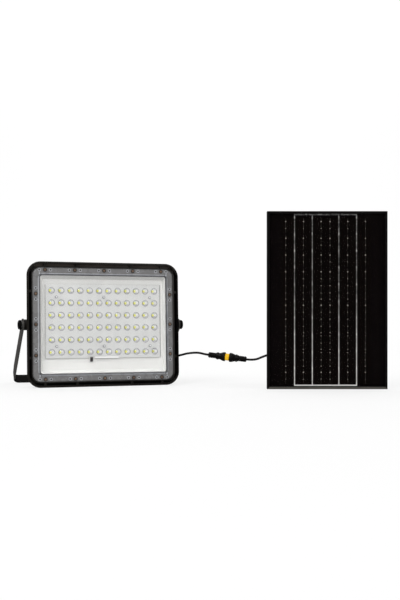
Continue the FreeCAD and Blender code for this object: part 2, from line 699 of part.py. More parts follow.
def foot_holes():
    """A round hole in the middle of the foot, and a slot on each side of it."""
    y = FOOT_CENTRE_Y
    below = -BRACKET_LENGTH - 1
    above = -BRACKET_LENGTH + BRACKET_THICK + 1
    holes = [rod(FOOT_HOLE_RADIUS, V(0, y, below), V(0, y, above))]
    for x in (-SLOT_X, SLOT_X):
        for end in (-SLOT_HALF, SLOT_HALF):
            holes.append(rod(SLOT_RADIUS, V(x + end, y, below), V(x + end, y, above)))
        middle = (x - SLOT_HALF, x + SLOT_HALF), (y - SLOT_RADIUS, y + SLOT_RADIUS)
        holes.append(box(*middle, (below, above)))
    return holes


def lamp_bracket():
    """Steel strip bent to a U, with round ends on the pivots, and a bolt hole and two slots in its foot."""
    outer = ARM_X + BRACKET_THICK
    ends = [pin_x(BRACKET_STRIP / 2, side * ARM_X, side * outer, 0, 0) for side in (-1, 1)]
    pivots = pin_x(PIVOT_HOLE_RADIUS, -outer - 1, outer + 1, 0, 0)
    bracket = bracket_band().cut(bracket_waist()).fuse(ends).cut(foot_holes() + [pivots])
    return hung_from_pivot(bracket.removeSplitter())


def hung_from_pivot(shape):
    """Swings a bracket made hanging straight down to its rest angle, and moves it to the pivots."""
    swung = shape.rotated(V(0, 0, 0), V(1, 0, 0), BRACKET_SWING + LAMP_LEAN)
    return swung.translated(V(0, PIVOT_DEPTH, 0))


def right_washer():
    washer = pin_x(8.2, WASHER_X, WASHER_X + WASHER_THICK, PIVOT_DEPTH, 0)
    return washer.cut(pin_x(4.1, WASHER_X - 1, WASHER_X + 2, PIVOT_DEPTH, 0))


def right_knob():
    """Fluted, domed grip moulded over the head of the pivot bolt."""
    end = KNOB_X + KNOB_LENGTH
    side = [(KNOB_X, 0), (KNOB_X, 9.0), (KNOB_X + 0.6, 9.6), (end - 2.6, 9.6)]
    crown = [(end - 1.0, 8.4), (end, 5.6), (end, 0)]
    grip = fluted(turned(side + crown), 10.9, 1.8, 10, KNOB_X - 1, end + 1)
    bolt_hole = pin_x(BOLT_HEAD_RADIUS, KNOB_X - 1, KNOB_X + 4, 0, 0)
    return grip.cut(bolt_hole).translated(V(0, PIVOT_DEPTH, 0))


BOLT_HEAD_RADIUS = 6.2


def right_bolt():
    head = pin_x(BOLT_HEAD_RADIUS, KNOB_X, KNOB_X + 4, PIVOT_DEPTH, 0)
    return head.fuse(pin_x(4.0, LAMP_HALF_X - 10, KNOB_X + 1, PIVOT_DEPTH, 0))


# ---------------------------------------------------------------- cables and connector
CONNECTOR_HALF = CONNECTOR_LENGTH / 2
CABLE_GAP = 1.6


def connector_point(along):
    return CONNECTOR_CENTRE + CONNECTOR_AXIS * along


def lamp_point(point):
    return LAMP_PLACE.multVec(point)


def panel_point(point):
    return PANEL_PLACE.multVec(point)


LAMP_SIDE_AXIS = LAMP_TURN.multVec(V(1, 0, 0))
# The lamp's cable rises as soon as it is clear of the grommet.
CABLE_MOUTH = 3.0
CABLE_RISE = 0.2
# Where each cable bends: a vertical axis through its middle.
LAMP_BEND = V(-36.5, 108.0, 67.7)
LAMP_BEND_WAY = V(1.0, -1.0, 0.05).normalize()
PANEL_BEND = V(83.4, 46.0, 57.0)
PANEL_BEND_WAY = V(1.0, -1.0, 0.3).normalize()
BOX_ENTRY = V(BOX_CENTRE_X - BOX_WIDTH / 2, BOX_CABLE_DEPTH, BOX_CENTRE_Z)


def lamp_cable():
    """From inside the lamp, out through the grommet, to the cable's middle."""
    inside = lamp_point(CABLE_EXIT - V(19, 0, 0))
    mouth = lamp_point(CABLE_EXIT + V(CABLE_MOUTH, 0, 0))
    straight = rod(CABLE_RADIUS, inside, mouth)
    elbow = Part.makeSphere(CABLE_RADIUS, mouth)
    middle = LAMP_BEND + V(-17.9, 15.0, -1.8)
    end = LAMP_BEND - LAMP_BEND_WAY * (CABLE_GAP / 2)
    rising = LAMP_SIDE_AXIS + V(0, 0, CABLE_RISE)
    return straight.fuse([elbow, tube_along([mouth, middle, end], CABLE_RADIUS, rising, LAMP_BEND_WAY)])


def lamp_cable_end():
    """From the cable's middle into the socket's boot."""
    start = LAMP_BEND + LAMP_BEND_WAY * (CABLE_GAP / 2)
    end = connector_point(-CONNECTOR_HALF)
    curved = tube_along([start, end], CABLE_RADIUS, LAMP_BEND_WAY * 30, CONNECTOR_AXIS * 30)
    return curved.fuse(rod(CABLE_RADIUS, end, connector_point(-CONNECTOR_HALF + 20)))


def panel_cable_start():
    """From the plug's boot to the panel cable's middle."""
    start = connector_point(CONNECTOR_HALF)
    end = PANEL_BEND - PANEL_BEND_WAY * (CABLE_GAP / 2)
    curved = tube_along([start, end], CABLE_RADIUS, CONNECTOR_AXIS * 20, PANEL_BEND_WAY * 20)
    return curved.fuse(rod(CABLE_RADIUS, connector_point(CONNECTOR_HALF - 14), start))


def panel_cable_end():
    """From the panel cable's middle, behind the frame, into the junction box."""
    start = PANEL_BEND + PANEL_BEND_WAY * (CABLE_GAP / 2)
    entry = panel_point(BOX_ENTRY)
    before = entry - V(6, 0, 0)
    beyond = PANEL_BEND + V(10.3, -12.0, 4.6)
    beside = PANEL_BEND + V(20.2, -20.0, 8.5)
    points = [start, beyond, beside, before + V(-9.7, 1.0, 0.3), before]
    curved = tube_along(points, CABLE_RADIUS, PANEL_BEND_WAY, V(1, 0, 0))
    return curved.fuse(rod(CABLE_RADIUS, before, entry + V(7, 0, 0)))


def boot(start, end, wide_end):
    """Ridged strain-relief boot between two places on the connector's axis."""
    length = end - start
    profile = [(start, CABLE_RADIUS), (start, 4.9)]
    ridges = 4
    for i in range(ridges):
        a = start + 1.2 + i * (length - 3) / ridges
        b = a + (length - 3) / ridges
        profile += [(a, 5.0), (a + 0.3, 5.7), (b - 1.0, 5.7), (b - 0.7, 5.0)]
    profile += [(end - 1.2, 5.0), (end - 1.2, wide_end), (end, wide_end), (end, CABLE_RADIUS)]
    return turned(profile)


def flipped(shape):
    """Turns a piece made for the lamp's half of the connector to face the panel."""
    return shape.rotated(V(0, 0, 0), V(0, 0, 1), 180)


def socket_boot():
    return boot(-CONNECTOR_HALF, -22.2, 6.4)


def socket_body():
    """Female half: a waisted, fluted collar, and a round nose that the plug enters."""
    shoulder = [(-22, 0), (-22, 7.0), (-20.5, 7.4), (-18.6, 7.4), (-18.0, 6.5), (-14.5, 6.7)]
    collar = [(-12.6, 7.5), (-8.0, 9.2), (-5.2, 9.2), (-4.4, 8.6), (-4.4, 5.6)]
    nose = [(14, 5.6), (14, 4.3), (0, 4.3), (0, 0)]
    body = fluted(turned(shoulder + collar + nose), 10.2, 1.5, 12, -12, 0)
    holes = [pin_x(1.4, -10, 1, side * 1.9, 0) for side in (-1, 1)]
    holes.append(pin_x(CABLE_RADIUS, -23, -16, 0, 0))
    return body.cut(holes)


def socket_contacts():
    tubes = []
    for side in (-1, 1):
        tubes.append(pin_x(1.4, -10, -0.2, side * 1.9, 0).cut(pin_x(0.85, -8.5, 0, side * 1.9, 0)))
    return group(tubes)


def seal_ring():
    """Yellow sealing ring around the socket's nose, pinched between the two halves."""
    return turned([(-4.2, 5.6), (-4.2, 6.7), (-3.6, 7.0), (3.6, 7.0), (4.2, 6.7), (4.2, 5.6)])


def coupling_nut():
    """Fluted nut that turns on the plug and draws it onto the socket."""
    grip = [(4.4, 5.7), (4.4, 8.6), (5.2, 9.3), (8.6, 9.3), (14.0, 7.5)]
    collar = [(16.5, 6.8), (17.2, 6.8), (17.8, 7.6), (20, 7.6)]
    inside = [(20, 4.3), (15.4, 4.3), (15.4, 5.7)]
    return fluted(turned(grip + collar + inside), 10.3, 1.5, 12, 3, 13)


def plug_body():
    """Male half: a tip that fills the socket's nose, a flange held by the nut, and a neck."""
    tip = [(0.2, 0), (0.2, 4.2), (14.2, 4.2)]
    flange = [(14.2, 5.6), (15.2, 5.6), (15.2, 4.2)]
    neck = [(20.2, 4.2), (20.2, 6.4), (22, 6.4), (22, 0)]
    holes = [pin_x(0.75, -1, 8, side * 1.9, 0) for side in (-1, 1)]
    holes.append(pin_x(CABLE_RADIUS, 18, 24, 0, 0))
    return turned(tip + flange + neck).cut(holes)


def plug_pins():
    return group([pin_x(0.75, -7, 8, side * 1.9, 0) for side in (-1, 1)])


def plug_boot():
    return flipped(boot(-CONNECTOR_HALF, -22.2, 6.4))


# ---------------------------------------------------------------- solar panel
PANEL_HALF_X = PANEL_WIDTH / 2
PANEL_HALF_Z = PANEL_HEIGHT / 2
GLASS_FRONT = 1.5
GLASS_BACK = 4.5
RIBBON_BACK = 4.75
CELL_BACK = 5.05
SHEET_BACK = 5.7
LAMINATE_INSET = 3.2
FRAME_WALL = 1.6
CHAMBER_FRONT = 7.4
CHAMBER_INNER = 6.4
KEY_CLEAR = 0.2


def frame_profile():
    """The frame bar's outline and its key chamber, as (distance in from the outside, depth) points."""
    back = PANEL_DEPTH
    lip = [(0, 0.3), (0.3, 0), (FRAME_LIP, 0), (FRAME_LIP, 1.4), (FRAME_WALL, 1.4)]
    web = [(FRAME_WALL, 5.8), (8, 5.8), (8, back - FRAME_WALL)]
    flange = [(14, back - FRAME_WALL), (14, back), (0, back)]
    chamber_front = [(FRAME_WALL, CHAMBER_FRONT), (CHAMBER_INNER, CHAMBER_FRONT)]
    chamber_back = [(CHAMBER_INNER, back - FRAME_WALL), (FRAME_WALL, back - FRAME_WALL)]
    return lip + web + flange, chamber_front + chamber_back


def frame_bar(length, upright):
    """The left (upright) or top (not upright) frame bar, cut to a mitre at both ends."""
    faces = []
    for points in frame_profile():
        if upright:
            at = [V(-PANEL_HALF_X + inset, depth, -length / 2) for inset, depth in points]
        else:
            at = [V(-length / 2, depth, PANEL_HALF_Z - inset) for inset, depth in points]
        faces.append(Part.Face(Part.makePolygon(at + at[:1])))
    along = V(0, 0, length) if upright else V(length, 0, 0)
    bar = faces[0].extrude(along).cut(faces[1].extrude(along))
    return bar.common(mitre_block(upright))


def mitre_block(upright):
    """The wedge of the panel's outline that belongs to its left or top bar."""
    x, z = PANEL_HALF_X, PANEL_HALF_Z
    reach = 30.0
    if upright:
        corners = [(-x, z), (-x, -z), (-x + reach, -z + reach), (-x + reach, z - reach)]
    else:
        corners = [(-x, z), (x, z), (x - reach, z - reach), (-x + reach, z - reach)]
    points = [V(px, -1, pz) for px, pz in corners]
    return Part.Face(Part.makePolygon(points + points[:1])).extrude(V(0, PANEL_DEPTH + 2, 0))


def rail_screw_places():
    return [(side * (PANEL_HALF_X - 11), HINGE_Z + row * 8) for side in (-1, 1) for row in (-1, 1)]


def frame_stiles():
    """The two long frame bars, drilled for the back rail's screws."""
    left = frame_bar(PANEL_HEIGHT, True)
    holes = [pin_y(1.85, 14, 18, x, z) for x, z in rail_screw_places()]
    return group([left.cut(holes), mirrored(left).cut(holes)])


def frame_rails():
    """The two short frame bars."""
    top = frame_bar(PANEL_WIDTH, False)
    return group([top, top.mirror(V(0, 0, 0), V(0, 0, 1))])


def corner_keys():
    """Angle keys pressed into the frame's chamber at each corner."""
    low = FRAME_WALL + KEY_CLEAR
    high = CHAMBER_INNER - KEY_CLEAR
    front = CHAMBER_FRONT + KEY_CLEAR
    back = PANEL_DEPTH - FRAME_WALL - KEY_CLEAR
    x, z = -PANEL_HALF_X, PANEL_HALF_Z
    arm = 26.0
    key = box((x + low, x + high), (front, back), (z - arm, z - low))
    key = key.fuse(box((x + low, x + arm), (front, back), (z - high, z - low)))
    upper = [key, mirrored(key)]
    return group(upper + [k.mirror(V(0, 0, 0), V(0, 0, 1)) for k in upper])


def laminate_sheet(front, back):
    return slab(PANEL_WIDTH - 2 * LAMINATE_INSET, PANEL_HEIGHT - 2 * LAMINATE_INSET, 1.5, front, back)


def panel_glass():
    return laminate_sheet(GLASS_FRONT, GLASS_BACK)


def backsheet():
    return laminate_sheet(CELL_BACK, SHEET_BACK)


def edge_sealant():
    """Silicone bead between the laminate's edge and the frame."""
    outer = slab(PANEL_WIDTH - 2 * FRAME_WALL, PANEL_HEIGHT - 2 * FRAME_WALL, 0.4, GLASS_FRONT, SHEET_BACK)
    return outer.cut(laminate_sheet(0, 10))


def solar_cells():
    """Ten wide cell strips, stacked from bottom to top with a narrow gap between each pair."""
    height = CELL_PITCH - 1.2
    strips = []
    for i in range(CELL_COUNT):
        z = (i - (CELL_COUNT - 1) / 2) * CELL_PITCH - 1.5
        x = (CELL_CENTRE_X - CELL_WIDTH / 2, CELL_CENTRE_X + CELL_WIDTH / 2)
        strips.append(box(x, (RIBBON_BACK, CELL_BACK), (z - height / 2, z + height / 2)))
    return group(strips)


def cell_ribbons():
    """Four long tinned ribbons joined at the top and the bottom by a bus ribbon."""
    middle = CELL_CENTRE_X - 0.6
    x_places = [middle + (i - 4.5) * RIBBON_PITCH for i in (1, 3, 6, 8)]
    top, bottom = 168.9, -167.6
    half = 0.9
    bars = [box((x - half, x + half), (GLASS_BACK, RIBBON_BACK), (bottom, top)) for x in x_places]
    across = (x_places[0] - half, x_places[-1] + half)
    for z in (bottom, top):
        bars.append(box(across, (GLASS_BACK, RIBBON_BACK), (z - 1.2, z + 1.2)))
    return bars[0].fuse(bars[1:]).removeSplitter()


def box_screw_places():
    x = BOX_WIDTH / 2 - 5
    z = BOX_HEIGHT / 2 - 5
    return [(BOX_CENTRE_X + i * x, BOX_CENTRE_Z + j * z) for i in (-1, 1) for j in (-1, 1)]


def junction_box():
    """Open box bonded to the backsheet, with a screw post in each corner and a hole for the cable."""
    centre = (BOX_CENTRE_X, BOX_CENTRE_Z)
    lid_front = BOX_BACK - 3
    shell = slab(BOX_WIDTH, BOX_HEIGHT, 4, BOX_FRONT, lid_front, centre)
    shell = shell.cut(slab(BOX_WIDTH - 5, BOX_HEIGHT - 5, 2, BOX_FRONT + 2, 40, centre))
    posts = [pin_y(3.6, BOX_FRONT + 1, lid_front, x, z) for x, z in box_screw_places()]
    collar = pin_x(4.6, BOX_ENTRY.x - 5, BOX_ENTRY.x + 1, lid_front - 4.8, BOX_CENTRE_Z)
    holes = [pin_y(1.5, 12, 40, x, z) for x, z in box_screw_places()]
    holes.append(pin_x(CABLE_RADIUS, BOX_ENTRY.x - 8, BOX_ENTRY.x + 4, BOX_CABLE_DEPTH, BOX_CENTRE_Z))
    return shell.fuse(posts + [collar.common(box((-200, 0), (17.2, lid_front), (-200, 0)))]).cut(holes)


def junction_lid():
    centre = (BOX_CENTRE_X, BOX_CENTRE_Z)
    lid = slab(BOX_WIDTH, BOX_HEIGHT, 4, BOX_BACK - 3, BOX_BACK, centre)
    rim = [e for e in lid.Edges if e.BoundBox.YMin > BOX_BACK - 0.01]
    lid = lid.makeFillet(1.0, rim)
    holes = []
    for x, z in box_screw_places():
        holes.append(pin_y(1.7, 20, 40, x, z))
        holes.append(pin_y(3.0, BOX_BACK - 1.4, 40, x, z))
    return lid.cut(holes)


def junction_terminals():
    """Two brass terminal strips, a diode between them, and the four lid screws."""
    pieces = []
    for z in (BOX_CENTRE_Z - 8, BOX_CENTRE_Z + 8):
        pieces.append(box((-80, -46), (BOX_FRONT + 2, BOX_FRONT + 4), (z - 3, z + 3)))
    pieces.append(box((-66, -58), (BOX_FRONT + 4, BOX_FRONT + 7.5), (BOX_CENTRE_Z - 9, BOX_CENTRE_Z + 9)))
    screw = facing_back(machine_screw(2.6, 1.3, SHANK_M3, 9, -(BOX_BACK - 1.4)))
    pieces += [screw.translated(V(x, 0, z)) for x, z in box_screw_places()]
    return group(pieces)


EAR_INNER = LEG_WIDTH / 2 + 0.6
EAR_THICK = 2.5
RAIL_THICK = 2.0


def back_rail():
    """Steel rail across the panel's back, with two ears for the leg's hinge."""
    rail = slab(PANEL_WIDTH - 8, 30, 3, PANEL_DEPTH, PANEL_DEPTH + RAIL_THICK, (0, HINGE_Z))
    ears = []
    for side in (-1, 1):
        ear = pin_x(11, side * EAR_INNER, side * (EAR_INNER + EAR_THICK), HINGE_DEPTH, HINGE_Z)
        across = sorted((side * EAR_INNER, side * (EAR_INNER + EAR_THICK)))
        ears.append(ear.fuse(box(across, (PANEL_DEPTH + 1, HINGE_DEPTH), (HINGE_Z - 11, HINGE_Z + 11))))
    holes = [pin_x(HINGE_BOLT_RADIUS + 0.1, -40, 40, HINGE_DEPTH, HINGE_Z)]
    holes += [pin_y(2.2, 10, 30, x, z) for x, z in rail_screw_places()]
    return rail.fuse(ears).cut(holes).removeSplitter()


def rail_screws():
    screw = facing_back(machine_screw(3.4, 2.0, 1.8, 5.0, -(PANEL_DEPTH + RAIL_THICK)))
    return at_points(screw, [(x, 0, z) for x, z in rail_screw_places()])


def hinge_bolt():
    """Hex-headed bolt through the rail's ears and the leg's barrel."""
    head_x = -EAR_INNER - EAR_THICK
    shank = pin_x(HINGE_BOLT_RADIUS, head_x - 1, EAR_INNER + EAR_THICK + 16, 0, 0)
    corners = []
    for i in range(7):
        angle = math.pi / 3 * i
        corners.append(V(head_x - 5.3, 7.5 * math.cos(angle), 7.5 * math.sin(angle)))
    head = Part.Face(Part.makePolygon(corners)).extrude(V(5.3, 0, 0))
    return shank.fuse(head).translated(V(0, HINGE_DEPTH, HINGE_Z))


FOOT_WIDTH = 96.0
FOOT_DEPTH = 34.0
FOOT_HOLE_X = 34.0
FOOT_HOLE_R = 3.3


def panel_leg():
    """Steel leg with a rolled barrel at the hinge and a foot plate bent to lie on the ground."""
    angle = math.radians(LEG_ANGLE)
    ground = -PANEL_HALF_Z
    drop = HINGE_Z - ground
    barrel = pin_x(7.2, -LEG_WIDTH / 2, LEG_WIDTH / 2, 0, 0)
    strip_top = 7.2 - LEG_THICK
    length = (drop + strip_top * math.sin(angle) - 0.5) / math.cos(angle)
    strip = box((-LEG_WIDTH / 2, LEG_WIDTH / 2), (strip_top, 7.2), (-length, 0))
    strip = strip.rotated(V(0, 0, 0), V(1, 0, 0), LEG_ANGLE)
    leg = barrel.fuse(strip)
    foot_start = length * math.sin(angle) + strip_top * math.cos(angle) - 4
    across = (-FOOT_WIDTH / 2, FOOT_WIDTH / 2)
    foot = box(across, (foot_start, foot_start + FOOT_DEPTH), (-drop, -drop + LEG_THICK))
    upright = [e for e in foot.Edges if abs(e.BoundBox.ZLength - LEG_THICK) < 0.01]
    foot = foot.makeFillet(5, upright)
    leg = leg.fuse(foot).common(box((-60, 60), (-20, 250), (-drop, 20)))
    holes = [pin_x(HINGE_BOLT_RADIUS + 0.05, -20, 20, 0, 0)]
    for x in (-FOOT_HOLE_X, FOOT_HOLE_X):
        y = foot_start + FOOT_DEPTH / 2
        holes.append(rod(FOOT_HOLE_R, V(x, y, -drop - 1), V(x, y, -drop + 10)))
    return leg.cut(holes).removeSplitter().translated(V(0, HINGE_DEPTH, HINGE_Z))


def foot_hole_depth():
    """Depth behind the panel's front of the foot plate's bolt holes."""
    angle = math.radians(LEG_ANGLE)
    strip_top = 7.2 - LEG_THICK
    length = (HINGE_Z + PANEL_HALF_Z + strip_top * math.sin(angle) - 0.5) / math.cos(angle)
    return HINGE_DEPTH + length * math.sin(angle) + strip_top * math.cos(angle) - 4 + FOOT_DEPTH / 2


def hinge_washer():
    start = EAR_INNER + EAR_THICK + 0.1
    washer = pin_x(8.0, start, start + 1.2, HINGE_DEPTH, HINGE_Z)
    return washer.cut(pin_x(4.1, start - 1, start + 2, HINGE_DEPTH, HINGE_Z))


def wing_nut():
    """Two-winged nut that clamps the hinge."""
    start = EAR_INNER + EAR_THICK + 1.4
    hub = turned([(start, 4.05), (start, 7.5), (start + 5, 6.2), (start + 8, 6.0), (start + 8, 4.05)])
    wing = slab(9, 12, 3.5, -1.6, 1.6, (start + 7, 9.8))
    bore = pin_x(5, start - 1, start + 20, 0, 0)
    wings = [wing.cut(bore), wing.mirror(V(0, 0, 0), V(0, 0, 1)).cut(bore)]
    return hub.fuse(wings).rotated(V(0, 0, 0), V(1, 0, 0), 35).translated(V(0, HINGE_DEPTH, HINGE_Z))


# ---------------------------------------------------------------- assembly
LAMP_PARTS = {
    "lamp_housing": lamp_housing,
    "front_cover": front_cover,
    "cover_gasket": cover_gasket,
    "cover_screws": cover_screws,
    "reflector_tray": reflector_tray,
    "led_board": led_board,
    "led_chips": led_chips,
    "lens_plate": lens_plate,
    "lens_screws": lens_screws,
    "infrared_sensor": infrared_sensor,
    "blank_label": blank_label,
    "battery_cells": battery_cells,
    "battery_cradle": battery_cradle,
    "battery_hatch": battery_hatch,
    "hatch_gasket": hatch_gasket,
    "hatch_screws": hatch_screws,
    "control_board": control_board,
    "inner_wires": inner_wires,
    "cable_grommet": cable_grommet,
    "strain_clamp": strain_clamp,
    "breather_valve": breather_valve,
    "power_switch": power_switch,
    "power_button": power_button,
    "pivot_inserts": pivot_inserts,
    "lamp_bracket": lamp_bracket,
    "right_washer": right_washer,
    "right_knob": right_knob,
    "right_bolt": right_bolt,
    "left_washer": lambda: mirrored(right_washer()),
    "left_knob": lambda: mirrored(right_knob()),
    "left_bolt": lambda: mirrored(right_bolt()),
}
CONNECTOR_PARTS = {
    "socket_boot": socket_boot,
    "socket_body": socket_body,
    "socket_contacts": socket_contacts,
    "seal_ring": seal_ring,
    "coupling_nut": coupling_nut,
    "plug_body": plug_body,
    "plug_pins": plug_pins,
    "plug_boot": plug_boot,
}
PANEL_PARTS = {
    "frame_stiles": frame_stiles,
    "frame_rails": frame_rails,
    "corner_keys": corner_keys,
    "panel_glass": panel_glass,
    "backsheet": backsheet,
    "edge_sealant": edge_sealant,
    "solar_cells": solar_cells,
    "cell_ribbons": cell_ribbons,
    "junction_box": junction_box,
    "junction_lid": junction_lid,
    "junction_terminals": junction_terminals,
    "back_rail": back_rail,
    "rail_screws": rail_screws,
    "hinge_bolt": hinge_bolt,
    "panel_leg": panel_leg,
    "hinge_washer": hinge_washer,
    "wing_nut": wing_nut,
}
CABLE_PARTS = {
    "lamp_cable": lamp_cable,
    "lamp_cable_end": lamp_cable_end,
    "panel_cable_start": panel_cable_start,
    "panel_cable_end": panel_cable_end,
}


def placed_parts():
    """Every part in the layout frame, by name."""
    families = [
        (LAMP_PARTS, LAMP_PLACE),
        (CONNECTOR_PARTS, CONNECTOR_PLACE),
        (PANEL_PARTS, PANEL_PLACE),
        (CABLE_PARTS, FreeCAD.Placement()),
    ]
    parts = {}
    for makers, place in families:
        for name, make in makers.items():
            shape = make()
            parts[name] = shape.transformed(place.toMatrix())
    return parts


def centring_shift(parts):
    """Moves the whole set so that its origin is on the ground, below the middle of its bounding box."""
    whole = FreeCAD.BoundBox()
    for name in ("lamp_housing", "lamp_bracket", "left_knob", "frame_stiles", "frame_rails", "panel_leg"):
        whole.add(parts[name].optimalBoundingBox(False, False))
    return V(-whole.Center.x, -whole.Center.y, -whole.ZMin)


def main():
    os.makedirs("parts", exist_ok=True)
    parts = placed_parts()
    shift = centring_shift(parts)
    for name, shape in parts.items():
        shape.translated(shift).exportStep(os.path.join("parts", name + ".step"))


if __name__ == "__main__":
    main()
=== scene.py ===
"""Looks for the solar flood light.

Every CAD node gets a finish, and the lights, the leads, the cells' printing and the tray's lip get pieces of
their own. Units are metres, in the row's frame. The lamp and the panel each have a local frame with x to the
right, y to the back and z up: the lamp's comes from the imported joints, the panel's from its frame's box.
"""

import json
import math

import bpy
from mathutils import Matrix, Vector


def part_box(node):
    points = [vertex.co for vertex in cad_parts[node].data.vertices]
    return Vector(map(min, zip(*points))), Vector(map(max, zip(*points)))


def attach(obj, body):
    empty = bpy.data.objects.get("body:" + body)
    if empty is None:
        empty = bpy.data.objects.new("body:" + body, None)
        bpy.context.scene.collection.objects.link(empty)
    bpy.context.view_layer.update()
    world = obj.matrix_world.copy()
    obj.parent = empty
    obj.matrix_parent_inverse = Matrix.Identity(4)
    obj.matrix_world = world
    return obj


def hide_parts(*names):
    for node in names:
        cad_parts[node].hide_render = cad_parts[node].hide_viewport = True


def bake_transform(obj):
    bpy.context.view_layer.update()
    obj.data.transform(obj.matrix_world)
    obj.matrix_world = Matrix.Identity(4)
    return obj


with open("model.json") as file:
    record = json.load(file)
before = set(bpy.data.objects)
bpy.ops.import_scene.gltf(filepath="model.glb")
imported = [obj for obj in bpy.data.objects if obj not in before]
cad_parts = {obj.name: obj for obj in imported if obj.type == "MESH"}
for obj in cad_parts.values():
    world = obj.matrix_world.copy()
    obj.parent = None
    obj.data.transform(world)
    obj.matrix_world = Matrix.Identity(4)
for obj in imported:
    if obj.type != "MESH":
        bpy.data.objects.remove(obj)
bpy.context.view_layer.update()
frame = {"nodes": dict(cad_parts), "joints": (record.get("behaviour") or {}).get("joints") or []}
NODES = frame["nodes"]
JOINTS = {joint["name"]: joint for joint in frame["joints"]}
MM = 0.001

# ---------------------------------------------------------------- sizes shared with the CAD model
PIVOT_DEPTH = 22 * MM
LAMP_WIDTH = 318.2 * MM
LAMP_HEIGHT = 255 * MM
RIM = 11.8 * MM
RIM_WALL = 4.6 * MM
RIM_LIP = 2.2 * MM
GROOVE_FLOOR = 7 * MM
COVER_FRONT = 3 * MM
COVER_BACK = 6 * MM
WINDOW_WIDTH = 260.6 * MM
WINDOW_HEIGHT = 196.8 * MM
WINDOW_MARGIN = 2.4 * MM
BORDER_MARGIN = 4.3 * MM
SCREW_PITCH_X = 60.8 * MM
SCREW_PITCH_Z = 62.2 * MM
SCREW_X = LAMP_WIDTH / 2 - RIM - 7 * MM
SCREW_Z = LAMP_HEIGHT / 2 - RIM - 5.2 * MM
DIMPLE_OFFSET = 11.3 * MM
DIMPLE_RADIUS = 2.1 * MM
DIMPLE_RING = 3.1 * MM
POCKET_RADIUS = 4.3 * MM
LED_COLUMNS = 12
LED_ROWS = 6
LED_PITCH_X = 19.6 * MM
LED_PITCH_Z = 25.1 * MM
LED_CENTRE_Z = 6.4 * MM
LENS_FRONT = 8.6 * MM
BOARD_FRONT = 12.0 * MM
CABLE_RADIUS = 2.25 * MM
CABLE_EXIT = (159.1 * MM, 18 * MM, -66.5 * MM)
CABLE_MOUTH = 3 * MM
CABLE_RISE = 0.2
LEAD_STEPS = 14
LEAD_SIDES = 20
CONNECTOR_HALF = 39.3 * MM
CELL_COUNT = 10
CELL_PITCH = 33.0 * MM
CELL_CENTRE_X = -2.4 * MM
CELL_CENTRE_Z = -1.5 * MM
RIBBON_PITCH = 17.45 * MM
GLASS_BACK = 4.5 * MM
CELL_FRONT = 4.75 * MM
FOOT_TOP = 34 * MM
BOX_ENTRY = (-91 * MM, 20.2 * MM, -109.5 * MM)
SLACK = 0.1 * MM


# ---------------------------------------------------------------- local frames
def local_frame(x_axis, y_axis, origin):
    """A frame at origin whose x and y run along two square axes."""
    x = Vector(x_axis).normalized()
    y = Vector(y_axis).normalized()
    turn = Matrix((x, y, x.cross(y))).transposed().to_4x4()
    return Matrix.Translation(origin) @ turn


def lamp_frame():
    """Origin at the centre of the lamp's front plane."""
    back = -Vector(JOINTS["button_press"]["axis"])
    pivot = Vector(JOINTS["bracket_tilt"]["pos_m"])
    return local_frame(JOINTS["bracket_tilt"]["axis"], back, pivot - back * PIVOT_DEPTH)


def panel_frame():
    """Origin at the centre of the panel's front plane."""
    low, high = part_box("frame_rails")
    origin = Vector(((low.x + high.x) / 2, low.y, (low.z + high.z) / 2))
    return Matrix.Translation(origin)


LAMP = lamp_frame()
PANEL = panel_frame()
GAP_PHASE = -2 * math.pi * (PANEL.translation.z + CELL_CENTRE_Z) / CELL_PITCH
PLUG_AXIS = Vector(JOINTS["plug_pull"]["axis"])
PLUG_CENTRE = Vector(JOINTS["nut_turn"]["pos_m"])


# ---------------------------------------------------------------- mesh helpers
def add_piece(name, vertices, faces, place, body, slot, smooth=True):
    """Makes a mesh piece from local vertices, sets it in the row's frame, and lets it ride on a body."""
    mesh = bpy.data.meshes.new(name)
    mesh.from_pydata([place @ Vector(v) for v in vertices], [], faces)
    mesh.validate()
    for polygon in mesh.polygons:
        polygon.use_smooth = smooth
    piece = bpy.data.objects.new(name, mesh)
    bpy.context.scene.collection.objects.link(piece)
    if body:
        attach(piece, body)  # a piece without one rides on no body
    return piece


def merged(parts):
    """One (vertices, faces) pair from several."""
    vertices, faces = [], []
    for more_vertices, more_faces in parts:
        start = len(vertices)
        vertices.extend(more_vertices)
        faces.extend([tuple(start + i for i in face) for face in more_faces])
    return vertices, faces


def moved(part, offset):
    """The part's vertices shifted by offset, with its faces."""
    vertices, faces = part
    ox, oy, oz = offset
    return [(x + ox, y + oy, z + oz) for x, y, z in vertices], faces


def lathe(profile, segments):
    """A solid of revolution about y, from (radius, depth) points whose ends lie on the axis."""
    vertices, faces, rings = [], [], []
    for radius, depth in profile:
        if radius < 1e-9:
            rings.append([len(vertices)])
            vertices.append((0.0, depth, 0.0))
            continue
        start = len(vertices)
        for i in range(segments):
            angle = 2 * math.pi * i / segments
            vertices.append((radius * math.cos(angle), depth, radius * math.sin(angle)))
        rings.append(list(range(start, start + segments)))
    for a, b in zip(rings, rings[1:]):
        for i in range(segments):
            j = (i + 1) % segments
            corners = [a[i % len(a)], b[i % len(b)], b[j % len(b)], a[j % len(a)]]
            unique = list(dict.fromkeys(corners))
            if len(unique) > 2:
                faces.append(tuple(unique))
    return vertices, faces


